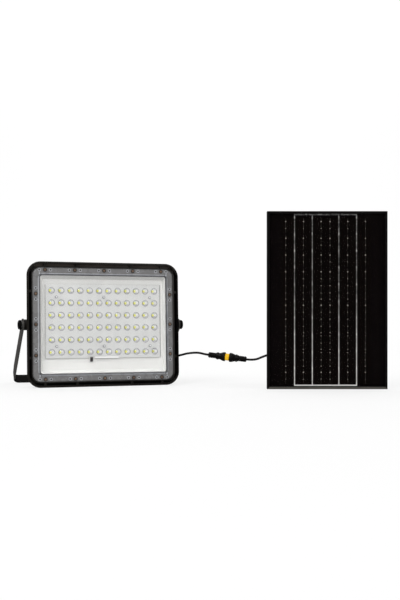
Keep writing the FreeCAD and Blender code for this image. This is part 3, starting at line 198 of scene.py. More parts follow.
def block(low, high, rim):
    """A box whose front edges are bevelled by rim."""
    (x0, y0, z0), (x1, y1, z1) = low, high
    vertices = []
    for depth, inset in ((y0, rim), (y0 + rim, 0.0), (y1, 0.0)):
        vertices.append((x0 + inset, depth, z0 + inset))
        vertices.append((x1 - inset, depth, z0 + inset))
        vertices.append((x1 - inset, depth, z1 - inset))
        vertices.append((x0 + inset, depth, z1 - inset))
    faces = [(0, 1, 2, 3), (11, 10, 9, 8)]
    for ring in (0, 4):
        for i in range(4):
            j = (i + 1) % 4
            faces.append((ring + i, ring + 4 + i, ring + 4 + j, ring + j))
    return vertices, faces


def hermite(points, tangents, steps):
    """Points along a smooth curve through the given points with the given tangents."""
    result = []
    for a, b, ta, tb in zip(points, points[1:], tangents, tangents[1:]):
        for i in range(steps):
            t = i / steps
            h = (2 * t**3 - 3 * t**2 + 1, t**3 - 2 * t**2 + t, -2 * t**3 + 3 * t**2, t**3 - t**2)
            result.append(a * h[0] + ta * h[1] + b * h[2] + tb * h[3])
    result.append(points[-1])
    return result


def smooth_path(points, first_way, last_way):
    """A curve through points that leaves along first_way and arrives along last_way."""
    points = [Vector(p) for p in points]
    tangents = []
    for i, point in enumerate(points):
        if i == 0:
            reach = (points[1] - point).length
            tangents.append(Vector(first_way).normalized() * reach)
        elif i == len(points) - 1:
            reach = (point - points[i - 1]).length
            tangents.append(Vector(last_way).normalized() * reach)
        else:
            before, after = point - points[i - 1], points[i + 1] - point
            way = (before.normalized() * after.length + after.normalized() * before.length).normalized()
            tangents.append(way * (before.length + after.length) / 2)
    return hermite(points, tangents, LEAD_STEPS)


def tube(path, radius):
    """A round tube along a path, closed at both ends."""
    vertices, faces = [], []
    up = Vector((0, 0, 1))
    for i, point in enumerate(path):
        ahead = path[min(i + 1, len(path) - 1)] - path[max(i - 1, 0)]
        ahead.normalize()
        side = ahead.cross(up).normalized()
        above = side.cross(ahead)
        for k in range(LEAD_SIDES):
            angle = 2 * math.pi * k / LEAD_SIDES
            vertices.append(point + side * radius * math.cos(angle) + above * radius * math.sin(angle))
    for i in range(len(path) - 1):
        for k in range(LEAD_SIDES):
            j = (k + 1) % LEAD_SIDES
            a, b = i * LEAD_SIDES, (i + 1) * LEAD_SIDES
            faces.append((a + k, a + j, b + j, b + k))
    faces.append(tuple(reversed(range(LEAD_SIDES))))
    faces.append(tuple(range((len(path) - 1) * LEAD_SIDES, len(path) * LEAD_SIDES)))
    return vertices, faces


# ---------------------------------------------------------------- material helpers
class Nodes:
    """Short names for building one material's node tree."""

    def __init__(self, name):
        self.material = bpy.data.materials.new(name)
        self.material.use_nodes = True
        self.tree = self.material.node_tree
        self.shader = self.tree.nodes["Principled BSDF"]
        self.output = self.tree.nodes["Material Output"]
        self.place = self.new("ShaderNodeTexCoord").outputs["Object"]

    def new(self, kind):
        """Adds a node of a kind."""
        return self.tree.nodes.new(kind)

    def link(self, source, target):
        """Joins an output to an input."""
        self.tree.links.new(source, target)

    def value(self, name, amount):
        """Sets one input of the shader."""
        self.shader.inputs[name].default_value = amount

    def noise(self, scale, detail=3.0, roughness=0.5, stretch=(1, 1, 1), distortion=0.0):
        """A cloudy pattern, fixed to the piece."""
        mapping = self.new("ShaderNodeMapping")
        mapping.inputs["Scale"].default_value = stretch
        self.link(self.place, mapping.inputs["Vector"])
        node = self.new("ShaderNodeTexNoise")
        node.inputs["Scale"].default_value = scale
        node.inputs["Detail"].default_value = detail
        node.inputs["Roughness"].default_value = roughness
        node.inputs["Distortion"].default_value = distortion
        self.link(mapping.outputs["Vector"], node.inputs["Vector"])
        return node.outputs["Fac"]

    def spread(self, source, low, high, from_low=0.3, from_high=0.7):
        """Maps a pattern to a range of values."""
        node = self.new("ShaderNodeMapRange")
        node.inputs["From Min"].default_value = from_low
        node.inputs["From Max"].default_value = from_high
        node.inputs["To Min"].default_value = low
        node.inputs["To Max"].default_value = high
        self.link(source, node.inputs["Value"])
        return node.outputs["Result"]

    def ramp(self, source, stops):
        """Maps a pattern to colours. Stops are (place, colour)."""
        node = self.new("ShaderNodeValToRGB")
        elements = node.color_ramp.elements
        while len(elements) < len(stops):
            elements.new(0.5)
        for element, (place, colour) in zip(elements, stops):
            element.position = place
            element.color = (*colour, 1.0)
        self.link(source, node.inputs["Fac"])
        return node.outputs["Color"]

    def bump(self, source, distance):
        """Turns a pattern into relief of a height."""
        node = self.new("ShaderNodeBump")
        node.inputs["Strength"].default_value = 1.0
        node.inputs["Distance"].default_value = distance
        self.link(source, node.inputs["Height"])
        return node.outputs["Normal"]

    def colour(self, source):
        """Drives the shader's base color from a pattern."""
        self.link(source, self.shader.inputs["Base Color"])

    def roughness(self, source):
        """Drives the shader's roughness from a pattern."""
        self.link(source, self.shader.inputs["Roughness"])

    def normal(self, source):
        """Drives the shader's normal from a pattern."""
        self.link(source, self.shader.inputs["Normal"])

    def let_lamps_through(self, tint=(1.0, 1.0, 1.0)):
        """Rays from lamps pass straight through, so that what is behind glass is lit."""
        path = self.new("ShaderNodeLightPath")
        clear = self.new("ShaderNodeBsdfTransparent")
        clear.inputs["Color"].default_value = (*tint, 1.0)
        mix = self.new("ShaderNodeMixShader")
        self.link(path.outputs["Is Shadow Ray"], mix.inputs["Fac"])
        self.link(self.shader.outputs["BSDF"], mix.inputs[1])
        self.link(clear.outputs["BSDF"], mix.inputs[2])
        self.link(mix.outputs["Shader"], self.output.inputs["Surface"])


def seen_in_shine(tree):
    """One for rays that bounced off a shiny surface, nought for all others and for those through glass."""
    path = tree.nodes.new("ShaderNodeLightPath")
    shine = tree.nodes.new("ShaderNodeMath")
    shine.operation = "SUBTRACT"
    shine.use_clamp = True
    tree.links.new(path.outputs["Is Glossy Ray"], shine.inputs[0])
    tree.links.new(path.outputs["Is Transmission Ray"], shine.inputs[1])
    return shine.outputs["Value"]


def shade(colour, factor):
    """The colour made lighter or darker by a factor."""
    return tuple(min(1.0, c * factor) for c in colour)


# ---------------------------------------------------------------- materials
def coated_metal(name, colour, roughness, grain=2600, depth=0.00003, specular=0.5):
    """Powder-coated or painted metal: fine orange peel, and patches that shine a little more or less."""
    nodes = Nodes(name)
    patches = nodes.noise(22, detail=4)
    peel = nodes.noise(grain, detail=2)
    nodes.colour(nodes.ramp(patches, [(0.3, shade(colour, 0.8)), (0.7, shade(colour, 1.25))]))
    nodes.roughness(nodes.spread(patches, roughness - 0.05, roughness + 0.06))
    nodes.normal(nodes.bump(peel, depth))
    nodes.value("Specular IOR Level", specular)
    return nodes.material


def anodising(name, colour, roughness):
    """Anodised aluminium: a very fine, shallow grain with little shine."""
    return coated_metal(name, colour, roughness, grain=5200, depth=0.00001, specular=0.15)


def moulded_plastic(name, colour, roughness, grain=4200, depth=0.00002, specular=0.5):
    """Moulded plastic with a spark-eroded texture."""
    nodes = Nodes(name)
    texture = nodes.noise(grain, detail=2)
    patches = nodes.noise(60, detail=3)
    nodes.colour(nodes.ramp(patches, [(0.3, shade(colour, 0.88)), (0.7, shade(colour, 1.12))]))
    nodes.roughness(nodes.spread(texture, roughness - 0.06, roughness + 0.08))
    nodes.normal(nodes.bump(texture, depth))
    nodes.value("Specular IOR Level", specular)
    return nodes.material


def soft_rubber(name, colour, roughness=0.55):
    """Rubber or soft cable sheath: matt, with faint dust and slow waviness."""
    nodes = Nodes(name)
    dust = nodes.noise(900, detail=5, roughness=0.65)
    waves = nodes.noise(160, detail=2)
    nodes.colour(nodes.ramp(dust, [(0.35, shade(colour, 0.85)), (0.8, shade(colour, 1.5))]))
    nodes.roughness(nodes.spread(waves, roughness - 0.08, roughness + 0.1))
    nodes.normal(nodes.bump(waves, 0.00008))
    nodes.value("Specular IOR Level", 0.15)
    return nodes.material


def bare_metal(name, colour, roughness):
    """Turned or rolled metal with fine marks along one way."""
    nodes = Nodes(name)
    marks = nodes.noise(1500, detail=3, stretch=(1, 1, 12))
    tarnish = nodes.noise(240, detail=4)
    nodes.colour(nodes.ramp(tarnish, [(0.3, shade(colour, 0.72)), (0.7, shade(colour, 1.08))]))
    nodes.roughness(nodes.spread(marks, roughness - 0.08, roughness + 0.12))
    nodes.normal(nodes.bump(marks, 0.00002))
    nodes.value("Metallic", 1.0)
    return nodes.material


def clear_window(name, tint=(1.0, 1.0, 1.0), roughness=0.02, ior=1.46, ripple=0.00002):
    """Clear moulded sheet with the faint ripple of its mould."""
    nodes = Nodes(name)
    waves = nodes.noise(40, detail=1)
    smears = nodes.noise(90, detail=5, roughness=0.6)
    nodes.colour(nodes.ramp(smears, [(0.2, shade(tint, 0.97)), (0.8, tint)]))
    nodes.roughness(nodes.spread(smears, roughness, roughness + 0.03))
    nodes.normal(nodes.bump(waves, ripple))
    nodes.value("Transmission Weight", 1.0)
    nodes.value("IOR", ior)
    nodes.let_lamps_through(tint)
    return nodes.material


def frosted_flange(name, colour):
    """The clear cover's flange over the dark ledge: looks milky grey from the texture on its back."""
    nodes = Nodes(name)
    cloud = nodes.noise(70, detail=4, roughness=0.6)
    grain = nodes.noise(3000, detail=2)
    nodes.colour(nodes.ramp(cloud, [(0.3, shade(colour, 0.93)), (0.7, shade(colour, 1.07))]))
    nodes.roughness(nodes.spread(cloud, 0.20, 0.34))
    nodes.normal(nodes.bump(grain, 0.00001))
    nodes.value("Coat Weight", 0.6)
    nodes.value("Coat Roughness", 0.06)
    return nodes.material


def white_tray(name, colour=(0.80, 0.80, 0.77)):
    """White satin moulding of the reflector."""
    nodes = Nodes(name)
    cloud = nodes.noise(18, detail=3)
    grain = nodes.noise(3600, detail=2)
    nodes.colour(nodes.ramp(cloud, [(0.3, shade(colour, 0.97)), (0.7, shade(colour, 1.03))]))
    nodes.roughness(nodes.spread(cloud, 0.38, 0.5))
    nodes.normal(nodes.bump(grain, 0.00001))
    return nodes.material


def phosphor(name):
    """Yellow phosphor of an LED: fine powder under clear silicone."""
    nodes = Nodes(name)
    powder = nodes.noise(5000, detail=3)
    nodes.colour(nodes.ramp(powder, [(0.3, (0.84, 0.86, 0.10)), (0.7, (0.94, 0.95, 0.16))]))
    nodes.roughness(nodes.spread(powder, 0.3, 0.45))
    nodes.value("Coat Weight", 0.8)
    nodes.value("Coat Roughness", 0.05)
    return nodes.material


def sleeve(name, colour):
    """Shrink sleeve around a cell: glossy film with fine wrinkles."""
    nodes = Nodes(name)
    wrinkles = nodes.noise(300, detail=4, stretch=(0.3, 1, 1), distortion=0.6)
    nodes.colour(nodes.ramp(wrinkles, [(0.3, shade(colour, 0.85)), (0.7, shade(colour, 1.15))]))
    nodes.roughness(nodes.spread(wrinkles, 0.2, 0.35))
    nodes.normal(nodes.bump(wrinkles, 0.00006))
    return nodes.material


def circuit(name, colour):
    """Circuit board: solder mask over copper tracks."""
    nodes = Nodes(name)
    tracks = nodes.noise(220, detail=1, distortion=1.5)
    nodes.colour(nodes.ramp(tracks, [(0.45, shade(colour, 0.8)), (0.52, shade(colour, 1.5))]))
    nodes.roughness(nodes.spread(tracks, 0.25, 0.4))
    nodes.normal(nodes.bump(tracks, 0.00003))
    return nodes.material


def silicon_cells(name):
    """Dark silicon with fine printed fingers running across, and slow changes of tone from cell to cell."""
    nodes = Nodes(name)
    split = nodes.new("ShaderNodeSeparateXYZ")
    nodes.link(nodes.place, split.inputs["Vector"])
    stripes = nodes.new("ShaderNodeMath")
    stripes.operation = "MULTIPLY"
    stripes.inputs[1].default_value = 2 * math.pi / (1.6 * MM)
    nodes.link(split.outputs["Z"], stripes.inputs[0])
    wave = nodes.new("ShaderNodeMath")
    wave.operation = "SINE"
    nodes.link(stripes.outputs["Value"], wave.inputs[0])
    fingers = nodes.spread(wave.outputs["Value"], 0.0, 1.0, from_low=0.90, from_high=1.0)
    tone = nodes.noise(9, detail=3)
    base = nodes.ramp(tone, [(0.3, (0.0016, 0.0009, 0.0007)), (0.7, (0.0030, 0.0019, 0.0015))])
    mix = nodes.new("ShaderNodeMix")
    mix.data_type = "RGBA"
    mix.inputs["B"].default_value = (0.008, 0.007, 0.006, 1.0)
    nodes.link(fingers, mix.inputs["Factor"])
    nodes.link(base, mix.inputs["A"])
    nodes.colour(mix.outputs["Result"])
    nodes.roughness(nodes.spread(tone, 0.5, 0.6))
    nodes.value("Specular IOR Level", 0.0)
    return nodes.material


def tinned_ribbon(name):
    """Tinned copper ribbon, near black but for painted reflections: lumpy solder with painted glints, painted
    highlights over the gaps between cells, and a painted reflection that makes it brighter towards the
    bottom.
    """
    colour = (0.95, 0.94, 0.92)
    nodes = Nodes(name)
    split = nodes.new("ShaderNodeSeparateXYZ")
    nodes.link(nodes.place, split.inputs["Vector"])
    turns = nodes.new("ShaderNodeMath")
    turns.operation = "MULTIPLY_ADD"
    turns.inputs[1].default_value = 2 * math.pi / CELL_PITCH
    turns.inputs[2].default_value = GAP_PHASE
    nodes.link(split.outputs["Z"], turns.inputs[0])
    wave = nodes.new("ShaderNodeMath")
    wave.operation = "COSINE"
    nodes.link(turns.outputs["Value"], wave.inputs[0])
    # Painted highlights where the ribbon crosses the gaps between cells.
    gaps = nodes.spread(wave.outputs["Value"], 0.0, 0.24, from_low=0.80, from_high=1.0)
    solder = nodes.noise(330, detail=4, roughness=0.7)
    # Solder lumps, their brightness a painted glint.
    lumps = nodes.spread(solder, 0.01, 0.26, from_low=0.42, from_high=0.64)
    low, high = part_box("cell_ribbons")
    fade_top = low.z + (high.z - low.z) * 0.55
    # Painted reflection that makes the ribbon brighter towards the bottom.
    rise = nodes.spread(split.outputs["Z"], 0.50, 0.0, from_low=low.z, from_high=fade_top)
    total = nodes.new("ShaderNodeMath")
    nodes.link(gaps, total.inputs[0])
    nodes.link(lumps, total.inputs[1])
    tone = nodes.new("ShaderNodeMath")
    nodes.link(total.outputs["Value"], tone.inputs[0])
    nodes.link(rise, tone.inputs[1])
    nodes.colour(nodes.ramp(tone.outputs["Value"], [(0.0, shade(colour, 0.02)), (0.8, colour)]))
    nodes.value("Roughness", 0.4)
    nodes.value("Specular IOR Level", 0.3)
    return nodes.material


def solder_pad(name, colour):
    """Small matt pads of tin."""
    nodes = Nodes(name)
    lumps = nodes.noise(900, detail=3)
    nodes.colour(nodes.ramp(lumps, [(0.35, shade(colour, 0.8)), (0.65, shade(colour, 1.15))]))
    nodes.roughness(nodes.spread(lumps, 0.35, 0.5))
    return nodes.material


def black_backing(name):
    """Black backing film with a fine weave, seen through the glass around the cells."""
    nodes = Nodes(name)
    weave = nodes.noise(1400, detail=3)
    nodes.colour(nodes.ramp(weave, [(0.3, (0.0022, 0.0014, 0.0016)), (0.7, (0.0034, 0.0022, 0.0025))]))
    nodes.roughness(nodes.spread(weave, 0.5, 0.6))
    nodes.value("Specular IOR Level", 0.0)
    return nodes.material


def solar_glass(name):
    """Low-reflection glass as a faint see-through layer that doesn't bend light."""
    nodes = Nodes(name)
    haze = nodes.noise(12, detail=3)
    nodes.colour(nodes.ramp(haze, [(0.3, (0.004, 0.003, 0.003)), (0.7, (0.006, 0.005, 0.005))]))
    nodes.roughness(nodes.spread(haze, 0.16, 0.24))
    nodes.value("Specular IOR Level", 0.25)
    nodes.value("Alpha", 0.12)
    return nodes.material


ZINC = (0.62, 0.62, 0.60)
BRASS = (0.72, 0.53, 0.24)
CAST_BLACK = (0.0100, 0.0078, 0.0058)
MOULDED_BLACK = (0.0034, 0.0029, 0.0025)
GRIP_BLACK = (0.0026, 0.0022, 0.0020)
ANODISED_BLACK = (0.0030, 0.0021, 0.0022)
RAIL_GREY = (0.060, 0.057, 0.050)


def finish_nodes():
    """Gives each CAD node its material."""
    housing = coated_metal("cast_black", CAST_BLACK, 0.38, grain=1900, depth=0.00004, specular=0.35)
    bracket = coated_metal("bracket_coat", (0.058, 0.054, 0.050), 0.42, specular=0.3)
    zinc = bare_metal("zinc_plate", ZINC, 0.32)
    brass = bare_metal("brass", BRASS, 0.28)
    black_part = moulded_plastic("black_moulding", MOULDED_BLACK, 0.34, specular=0.2)
    grip = moulded_plastic("grip_moulding", GRIP_BLACK, 0.5, grain=2800, depth=0.00004, specular=0.08)
    rubber = soft_rubber("black_rubber", (0.0036, 0.0031, 0.0027))
    anodised = anodising("black_anodised", ANODISED_BLACK, 0.40)
    board = circuit("green_board", (0.02, 0.16, 0.06))
    finishes = {
        "lamp_housing": housing,
        "cover_gasket": soft_rubber("grey_gasket", (0.26, 0.26, 0.27)),
        "cover_screws": coated_metal("brown_screw", (0.24, 0.145, 0.09), 0.36),
        "reflector_tray": white_tray("tray_white", (0.74, 0.74, 0.72)),
        "led_board": white_tray("board_white", (0.74, 0.745, 0.73)),
        "lens_plate": clear_window("lens_clear", roughness=0.01, ior=1.40, ripple=0.000004),
        "lens_screws": coated_metal("nickel_screw", (0.80, 0.80, 0.80), 0.3),
        "infrared_sensor": moulded_plastic("dark_lens", (0.02, 0.012, 0.014), 0.12, depth=0.000002),
        "blank_label": white_tray("label_white", (0.93, 0.93, 0.92)),
        "battery_cells": sleeve("cell_sleeve", (0.05, 0.16, 0.42)),
        "battery_cradle": black_part,
        "battery_hatch": housing,
        "hatch_gasket": rubber,
        "hatch_screws": zinc,
        "control_board": board,
        "inner_wires": soft_rubber("red_insulation", (0.45, 0.03, 0.02), 0.4),
        "cable_grommet": rubber,
        "strain_clamp": black_part,
        "breather_valve": black_part,
        "power_switch": black_part,
        "power_button": soft_rubber("button_rubber", (0.32, 0.015, 0.012), 0.5),
        "pivot_inserts": brass,
        "lamp_bracket": bracket,
        "right_washer": zinc,
        "left_washer": zinc,
        "right_knob": grip,
        "left_knob": grip,
        "right_bolt": zinc,
        "left_bolt": zinc,
        "socket_boot": rubber,
        "plug_boot": rubber,
        "socket_body": black_part,
        "coupling_nut": black_part,
        "plug_body": black_part,
        "socket_contacts": brass,
        "plug_pins": brass,
        "seal_ring": moulded_plastic("yellow_seal", (0.80, 0.46, 0.006), 0.45, grain=2000, specular=0.25),
        "frame_stiles": anodised,
        "frame_rails": anodised,
        "corner_keys": bare_metal("mill_aluminium", (0.75, 0.75, 0.76), 0.35),
        "panel_glass": solar_glass("solar_glass"),
        "backsheet": black_backing("backing_film"),
        "edge_sealant": rubber,
        "solar_cells": silicon_cells("silicon"),
        "cell_ribbons": tinned_ribbon("ribbon_tin"),
        "junction_box": black_part,
        "junction_lid": black_part,
        "junction_terminals": brass,
        "back_rail": bracket,
        "rail_screws": zinc,
        "hinge_bolt": zinc,
        "hinge_washer": zinc,
        "panel_leg": bracket,
        "wing_nut": zinc,
    }
    for name, material in finishes.items():
        mesh = NODES[name].data
        mesh.materials.clear()
        mesh.materials.append(material)


# The third and fourth zones are a painted highlight and painted shade.
CLEAR, GREY, PAINTED_HIGHLIGHT, PAINTED_SHADE, EDGE = range(5)


def cover_screws():
    """Local places of the cover screws, with the way each side of the cover runs."""
    sides = (1, -1)
    places = [(i * SCREW_PITCH_X, side * SCREW_Z, (1, 0)) for side in sides for i in range(-2, 3)]
    places += [(side * SCREW_X, i * SCREW_PITCH_Z, (0, 1)) for side in sides for i in range(-1, 2)]
    return places


def within_window(x, z, margin):
    """True inside the cover's window, grown by a margin."""
    return abs(x) < WINDOW_WIDTH / 2 + margin and abs(z) < WINDOW_HEIGHT / 2 + margin


def cover_zone(x, y, z, places):
    """Which of the cover's five finishes a face at a local point takes; two of them are a painted highlight
    on raised edges and dimple rings and painted shade in the screw pockets and dimples.
    """
    if within_window(x, z, WINDOW_MARGIN + SLACK):
        return CLEAR
    if within_window(x, z, BORDER_MARGIN + SLACK):
        return EDGE
    if within_window(x, z, BORDER_MARGIN + 1.5 * MM):
        return PAINTED_HIGHLIGHT
    for sx, sz, (run_x, run_z) in places:
        if math.hypot(x - sx, z - sz) < POCKET_RADIUS + 0.05 * MM:
            return PAINTED_SHADE
        for side in (-DIMPLE_OFFSET, DIMPLE_OFFSET):
            away = math.hypot(x - sx - side * run_x, z - sz - side * run_z)
            if away < DIMPLE_RADIUS + 0.02 * MM:
                return PAINTED_SHADE
            if away < DIMPLE_RING + 0.05 * MM and y < COVER_FRONT:
                return PAINTED_HIGHLIGHT
    return GREY


def finish_cover():
    """The window is clear; the flange is milky grey, with a painted highlight on its raised edges and painted
    shade in its recesses.
    """
    mesh = NODES["front_cover"].data
    mesh.materials.clear()
    mesh.materials.append(clear_window("cover_clear", ior=1.2))
    mesh.materials.append(frosted_flange("cover_flange", (0.170, 0.168, 0.169)))
    # The pale ridge colour is a painted highlight, the dark recess colour painted shade.
    mesh.materials.append(frosted_flange("cover_ridge_painted_highlight", (0.44, 0.455, 0.48)))
    mesh.materials.append(frosted_flange("cover_recess_painted_shade", (0.085, 0.078, 0.073)))
    mesh.materials.append(frosted_flange("cover_edge", (0.175, 0.180, 0.190)))
    to_lamp = LAMP.inverted()
    places = cover_screws()
    for polygon in mesh.polygons:
        polygon.material_index = cover_zone(*(to_lamp @ polygon.center), places)


def paint_groove_light_and_shade():
    """Painted light and shade on the rim: its groove and right wall are painted black as shade, its floor
    along the top is painted light, and its right lip is painted grey as light.
    """
    mesh = NODES["lamp_housing"].data
    # Painted shade, painted light along the top of the groove, and painted light on the right lip.
    mesh.materials.append(coated_metal("groove_painted_shade", (0.0012, 0.0010, 0.0010), 0.5, specular=0.1))
    mesh.materials.append(coated_metal("groove_painted_light", (0.062, 0.050, 0.042), 0.5, specular=0.2))
    mesh.materials.append(coated_metal("lip_painted_light", (0.026, 0.023, 0.020), 0.4, specular=0.3))
    to_lamp = LAMP.inverted()
    for polygon in mesh.polygons:
        x, y, z = to_lamp @ polygon.center
        from_edge = min(LAMP_WIDTH / 2 - abs(x), LAMP_HEIGHT / 2 - abs(z))
        from_top = LAMP_HEIGHT / 2 - z
        from_right = LAMP_WIDTH / 2 - x
        if y > GROOVE_FLOOR + 0.6 * MM or from_edge > RIM + 2 * SLACK:
            continue
        if from_right < RIM_WALL:
            polygon.material_index = 1
        elif from_right < RIM and from_right > RIM - RIM_LIP - SLACK:
            polygon.material_index = 3
        elif RIM_WALL - SLACK < from_edge < RIM - RIM_LIP + SLACK and y > COVER_FRONT - 2 * SLACK:
            polygon.material_index = 2 if from_top < RIM and y > GROOVE_FLOOR - 2 * SLACK else 1


def build_tray_lip():
    """Grey lip that closes the gap between the tray's mouth and the gasket."""
    near_x, near_z = WINDOW_WIDTH / 2 + 0.3 * MM, WINDOW_HEIGHT / 2 + 0.3 * MM
    far_x, far_z = near_x + 3 * MM, near_z + 3 * MM
    front, back = COVER_BACK + 0.15 * MM, COVER_BACK + 0.35 * MM
    strips = []
    for side in (-1, 1):
        low, high = sorted((side * near_x, side * far_x))
        strips.append(block((low, front, -far_z), (high, back, far_z), 0.05 * MM))
        low, high = sorted((side * near_z, side * far_z))
        strips.append(block((-near_x, front, low), (near_x, back, high), 0.05 * MM))
    piece = add_piece("tray_lip", *merged(strips), LAMP, "lamp_head", "reflector_tray", smooth=False)
    piece.data.materials.append(white_tray("lip_white", (0.21, 0.21, 0.22)))


def finish_bracket_foot():
    """The foot of the lamp's bracket is painted darker than its arms, as if it lay in shade."""
    mesh = NODES["lamp_bracket"].data
    mesh.materials.append(coated_metal("foot_coat", (0.0075, 0.0062, 0.0055), 0.5, specular=0.1))
    for polygon in mesh.polygons:
        if polygon.center.z < FOOT_TOP:
            polygon.material_index = 1


def finish_screw_heads():
    """Brown screw heads, lighter in the middle."""
    mesh = NODES["cover_screws"].data
    mesh.materials.append(coated_metal("brown_rim", (0.060, 0.048, 0.040), 0.4, specular=0.3))
    to_lamp = LAMP.inverted()
    places = cover_screws()
    for polygon in mesh.polygons:
        x, _, z = to_lamp @ polygon.center
        if min(math.hypot(x - sx, z - sz) for sx, sz, _ in places) > 1.6 * MM:
            polygon.material_index = 1


def finish_lens_screws():
    """Bright screws, darker outside the middle of each."""
    mesh = NODES["lens_screws"].data
    mesh.materials.append(coated_metal("nickel_rim", (0.25, 0.25, 0.26), 0.3))
    across = LED_PITCH_X * (LED_COLUMNS - 2) / 2
    up = LED_PITCH_Z * (LED_ROWS - 2) / 2
    places = [(i * across, LED_CENTRE_Z - 0.5 * MM + j * up) for i in (-1, 0, 1) for j in (-1, 1)]
    to_lamp = LAMP.inverted()
    for polygon in mesh.polygons:
        x, _, z = to_lamp @ polygon.center
        if min(math.hypot(x - sx, z - sz) for sx, sz in places) > 1.7 * MM:
            polygon.material_index = 1


def finish_tray_slopes():
    """The tray's faces that look down are a little greyer than the rest of it."""
    mesh = NODES["reflector_tray"].data
    mesh.materials.append(white_tray("tray_shaded", (0.68, 0.68, 0.665)))
    turn = LAMP.to_3x3().inverted()
    for polygon in mesh.polygons:
        if (turn @ polygon.normal).z < -0.3:
            polygon.material_index = 1


def finish_bottom_rail():
    """The frame's bottom rail is painted olive grey, as if the floor lit it."""
    mesh = NODES["frame_rails"].data
    mesh.materials.append(anodising("rail_grey", RAIL_GREY, 0.45))
    for polygon in mesh.polygons:
        if polygon.center.z < PANEL.translation.z:
            polygon.material_index = 1


def finish_lens_rims():
    """The steep foot of each lens dome is tinted grey as painted shade, standing in for the dark ring that
    refraction gives at a dome's edge, so that it shows against the white board.
    """
    mesh = NODES["lens_plate"].data
    # This grey is painted shade at each dome's foot.
    grey = (0.50, 0.49, 0.54)
    mesh.materials.append(clear_window("lens_rim", tint=grey, ior=1.40, ripple=0.000004))
    to_lamp = LAMP.inverted()
    foot = LENS_FRONT - 2.2 * MM
    for polygon in mesh.polygons:
        depth = (to_lamp @ polygon.center).y
        if foot < depth < LENS_FRONT - 0.02 * MM:
            polygon.material_index = 1


# ---------------------------------------------------------------- light engine
def led_places():
    """Local places of the LEDs on the board."""
    first_x = -LED_PITCH_X * (LED_COLUMNS - 1) / 2
    first_z = LED_CENTRE_Z - LED_PITCH_Z * (LED_ROWS - 1) / 2
    return [
        (first_x + column * LED_PITCH_X, 0, first_z + row * LED_PITCH_Z)
        for column in range(LED_COLUMNS)
        for row in range(LED_ROWS)
    ]


def low_dome(radius, rise, depth):
    """A shallow round drop on a face at the given depth, its foot sunk a little into the face."""
    quarter = [math.pi / 2 * i / 5 for i in range(5)]
    crown = [(radius * math.cos(a), depth - rise * math.sin(a)) for a in quarter]
    foot = depth + 0.1 * MM
    return lathe([(0, foot), (radius, foot)] + crown + [(0, depth - rise)], 24)


def build_lights():
    """White LED packages, each with a round pool of yellow phosphor and, to its right, a white pool that is a
    painted highlight for the glint on its lens dome.
    """
    places = led_places()
    half_x, half_z = 4.4 * MM, 2.5 * MM
    front = 11.2 * MM
    package = block((-half_x, front, -half_z), (half_x, BOARD_FRONT, half_z), 0.3 * MM)
    shapes = merged([moved(package, place) for place in places])
    packages = add_piece("led_packages", *shapes, LAMP, "lamp_head", "led_chips", smooth=False)
    packages.data.materials.append(white_tray("package_white", (0.66, 0.66, 0.64)))
    pool = low_dome(2.15 * MM, 0.4 * MM, front)
    finishes = (
        ("led_phosphor", -2.2 * MM, phosphor("phosphor_yellow")),
        # The white pool is a painted highlight for the glint on each lens dome.
        ("led_painted_highlight", 2.2 * MM, white_tray("highlight_paint_white", (0.88, 0.88, 0.86))),
    )
    for name, across, material in finishes:
        pools = [moved(pool, (x + across, y, z)) for x, y, z in places]
        piece = add_piece(name, *merged(pools), LAMP, "lamp_head", "led_chips")
        piece.data.materials.append(material)
    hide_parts("led_chips")


# ---------------------------------------------------------------- leads
def build_leads():
    """The two halves of the lead, each bending at its joint."""
    sheath = soft_rubber("lead_sheath", (0.012, 0.011, 0.011), 0.45)
    lamp_way = LAMP.to_3x3() @ Vector((1, 0, 0))
    bend = Vector(JOINTS["lamp_lead_flex"]["pos_m"])
    start = LAMP @ (Vector(CABLE_EXIT) - Vector((19 * MM, 0, 0)))
    mouth = LAMP @ (Vector(CABLE_EXIT) + Vector((CABLE_MOUTH, 0, 0)))
    middle = bend + Vector((-17.9, 15.0, -1.8)) * MM
    socket_end = PLUG_CENTRE - PLUG_AXIS * CONNECTOR_HALF
    rising = lamp_way + Vector((0, 0, CABLE_RISE))
    path = [start] + smooth_path([mouth, middle, bend, socket_end], rising, PLUG_AXIS)
    path.append(socket_end + PLUG_AXIS * 18 * MM)
    lead = add_piece("lamp_lead", *tube(path, CABLE_RADIUS), Matrix.Identity(4), None, "lamp_cable")
    lead.data.materials.append(sheath)
    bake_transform(lead)
    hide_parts("lamp_cable", "lamp_cable_end")

    bend = Vector(JOINTS["panel_lead_flex"]["pos_m"])
    plug_end = PLUG_CENTRE + PLUG_AXIS * CONNECTOR_HALF
    entry = PANEL @ Vector(BOX_ENTRY)
    before = entry - Vector((6 * MM, 0, 0))
    beyond = bend + Vector((10.3, -12.0, 4.6)) * MM
    beside = bend + Vector((20.2, -20.0, 8.5)) * MM
    behind = before - Vector((9.7, -1.0, -0.3)) * MM
    path = [plug_end - PLUG_AXIS * 14 * MM]
    path += smooth_path([plug_end, bend, beyond, beside, behind, before], PLUG_AXIS, (1, 0, 0))
    path.append(entry + Vector((7 * MM, 0, 0)))
    lead = add_piece("panel_lead", *tube(path, CABLE_RADIUS), Matrix.Identity(4), None, "panel_cable_end")
    lead.data.materials.append(sheath)
    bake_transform(lead)
    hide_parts("panel_cable_start", "panel_cable_end")


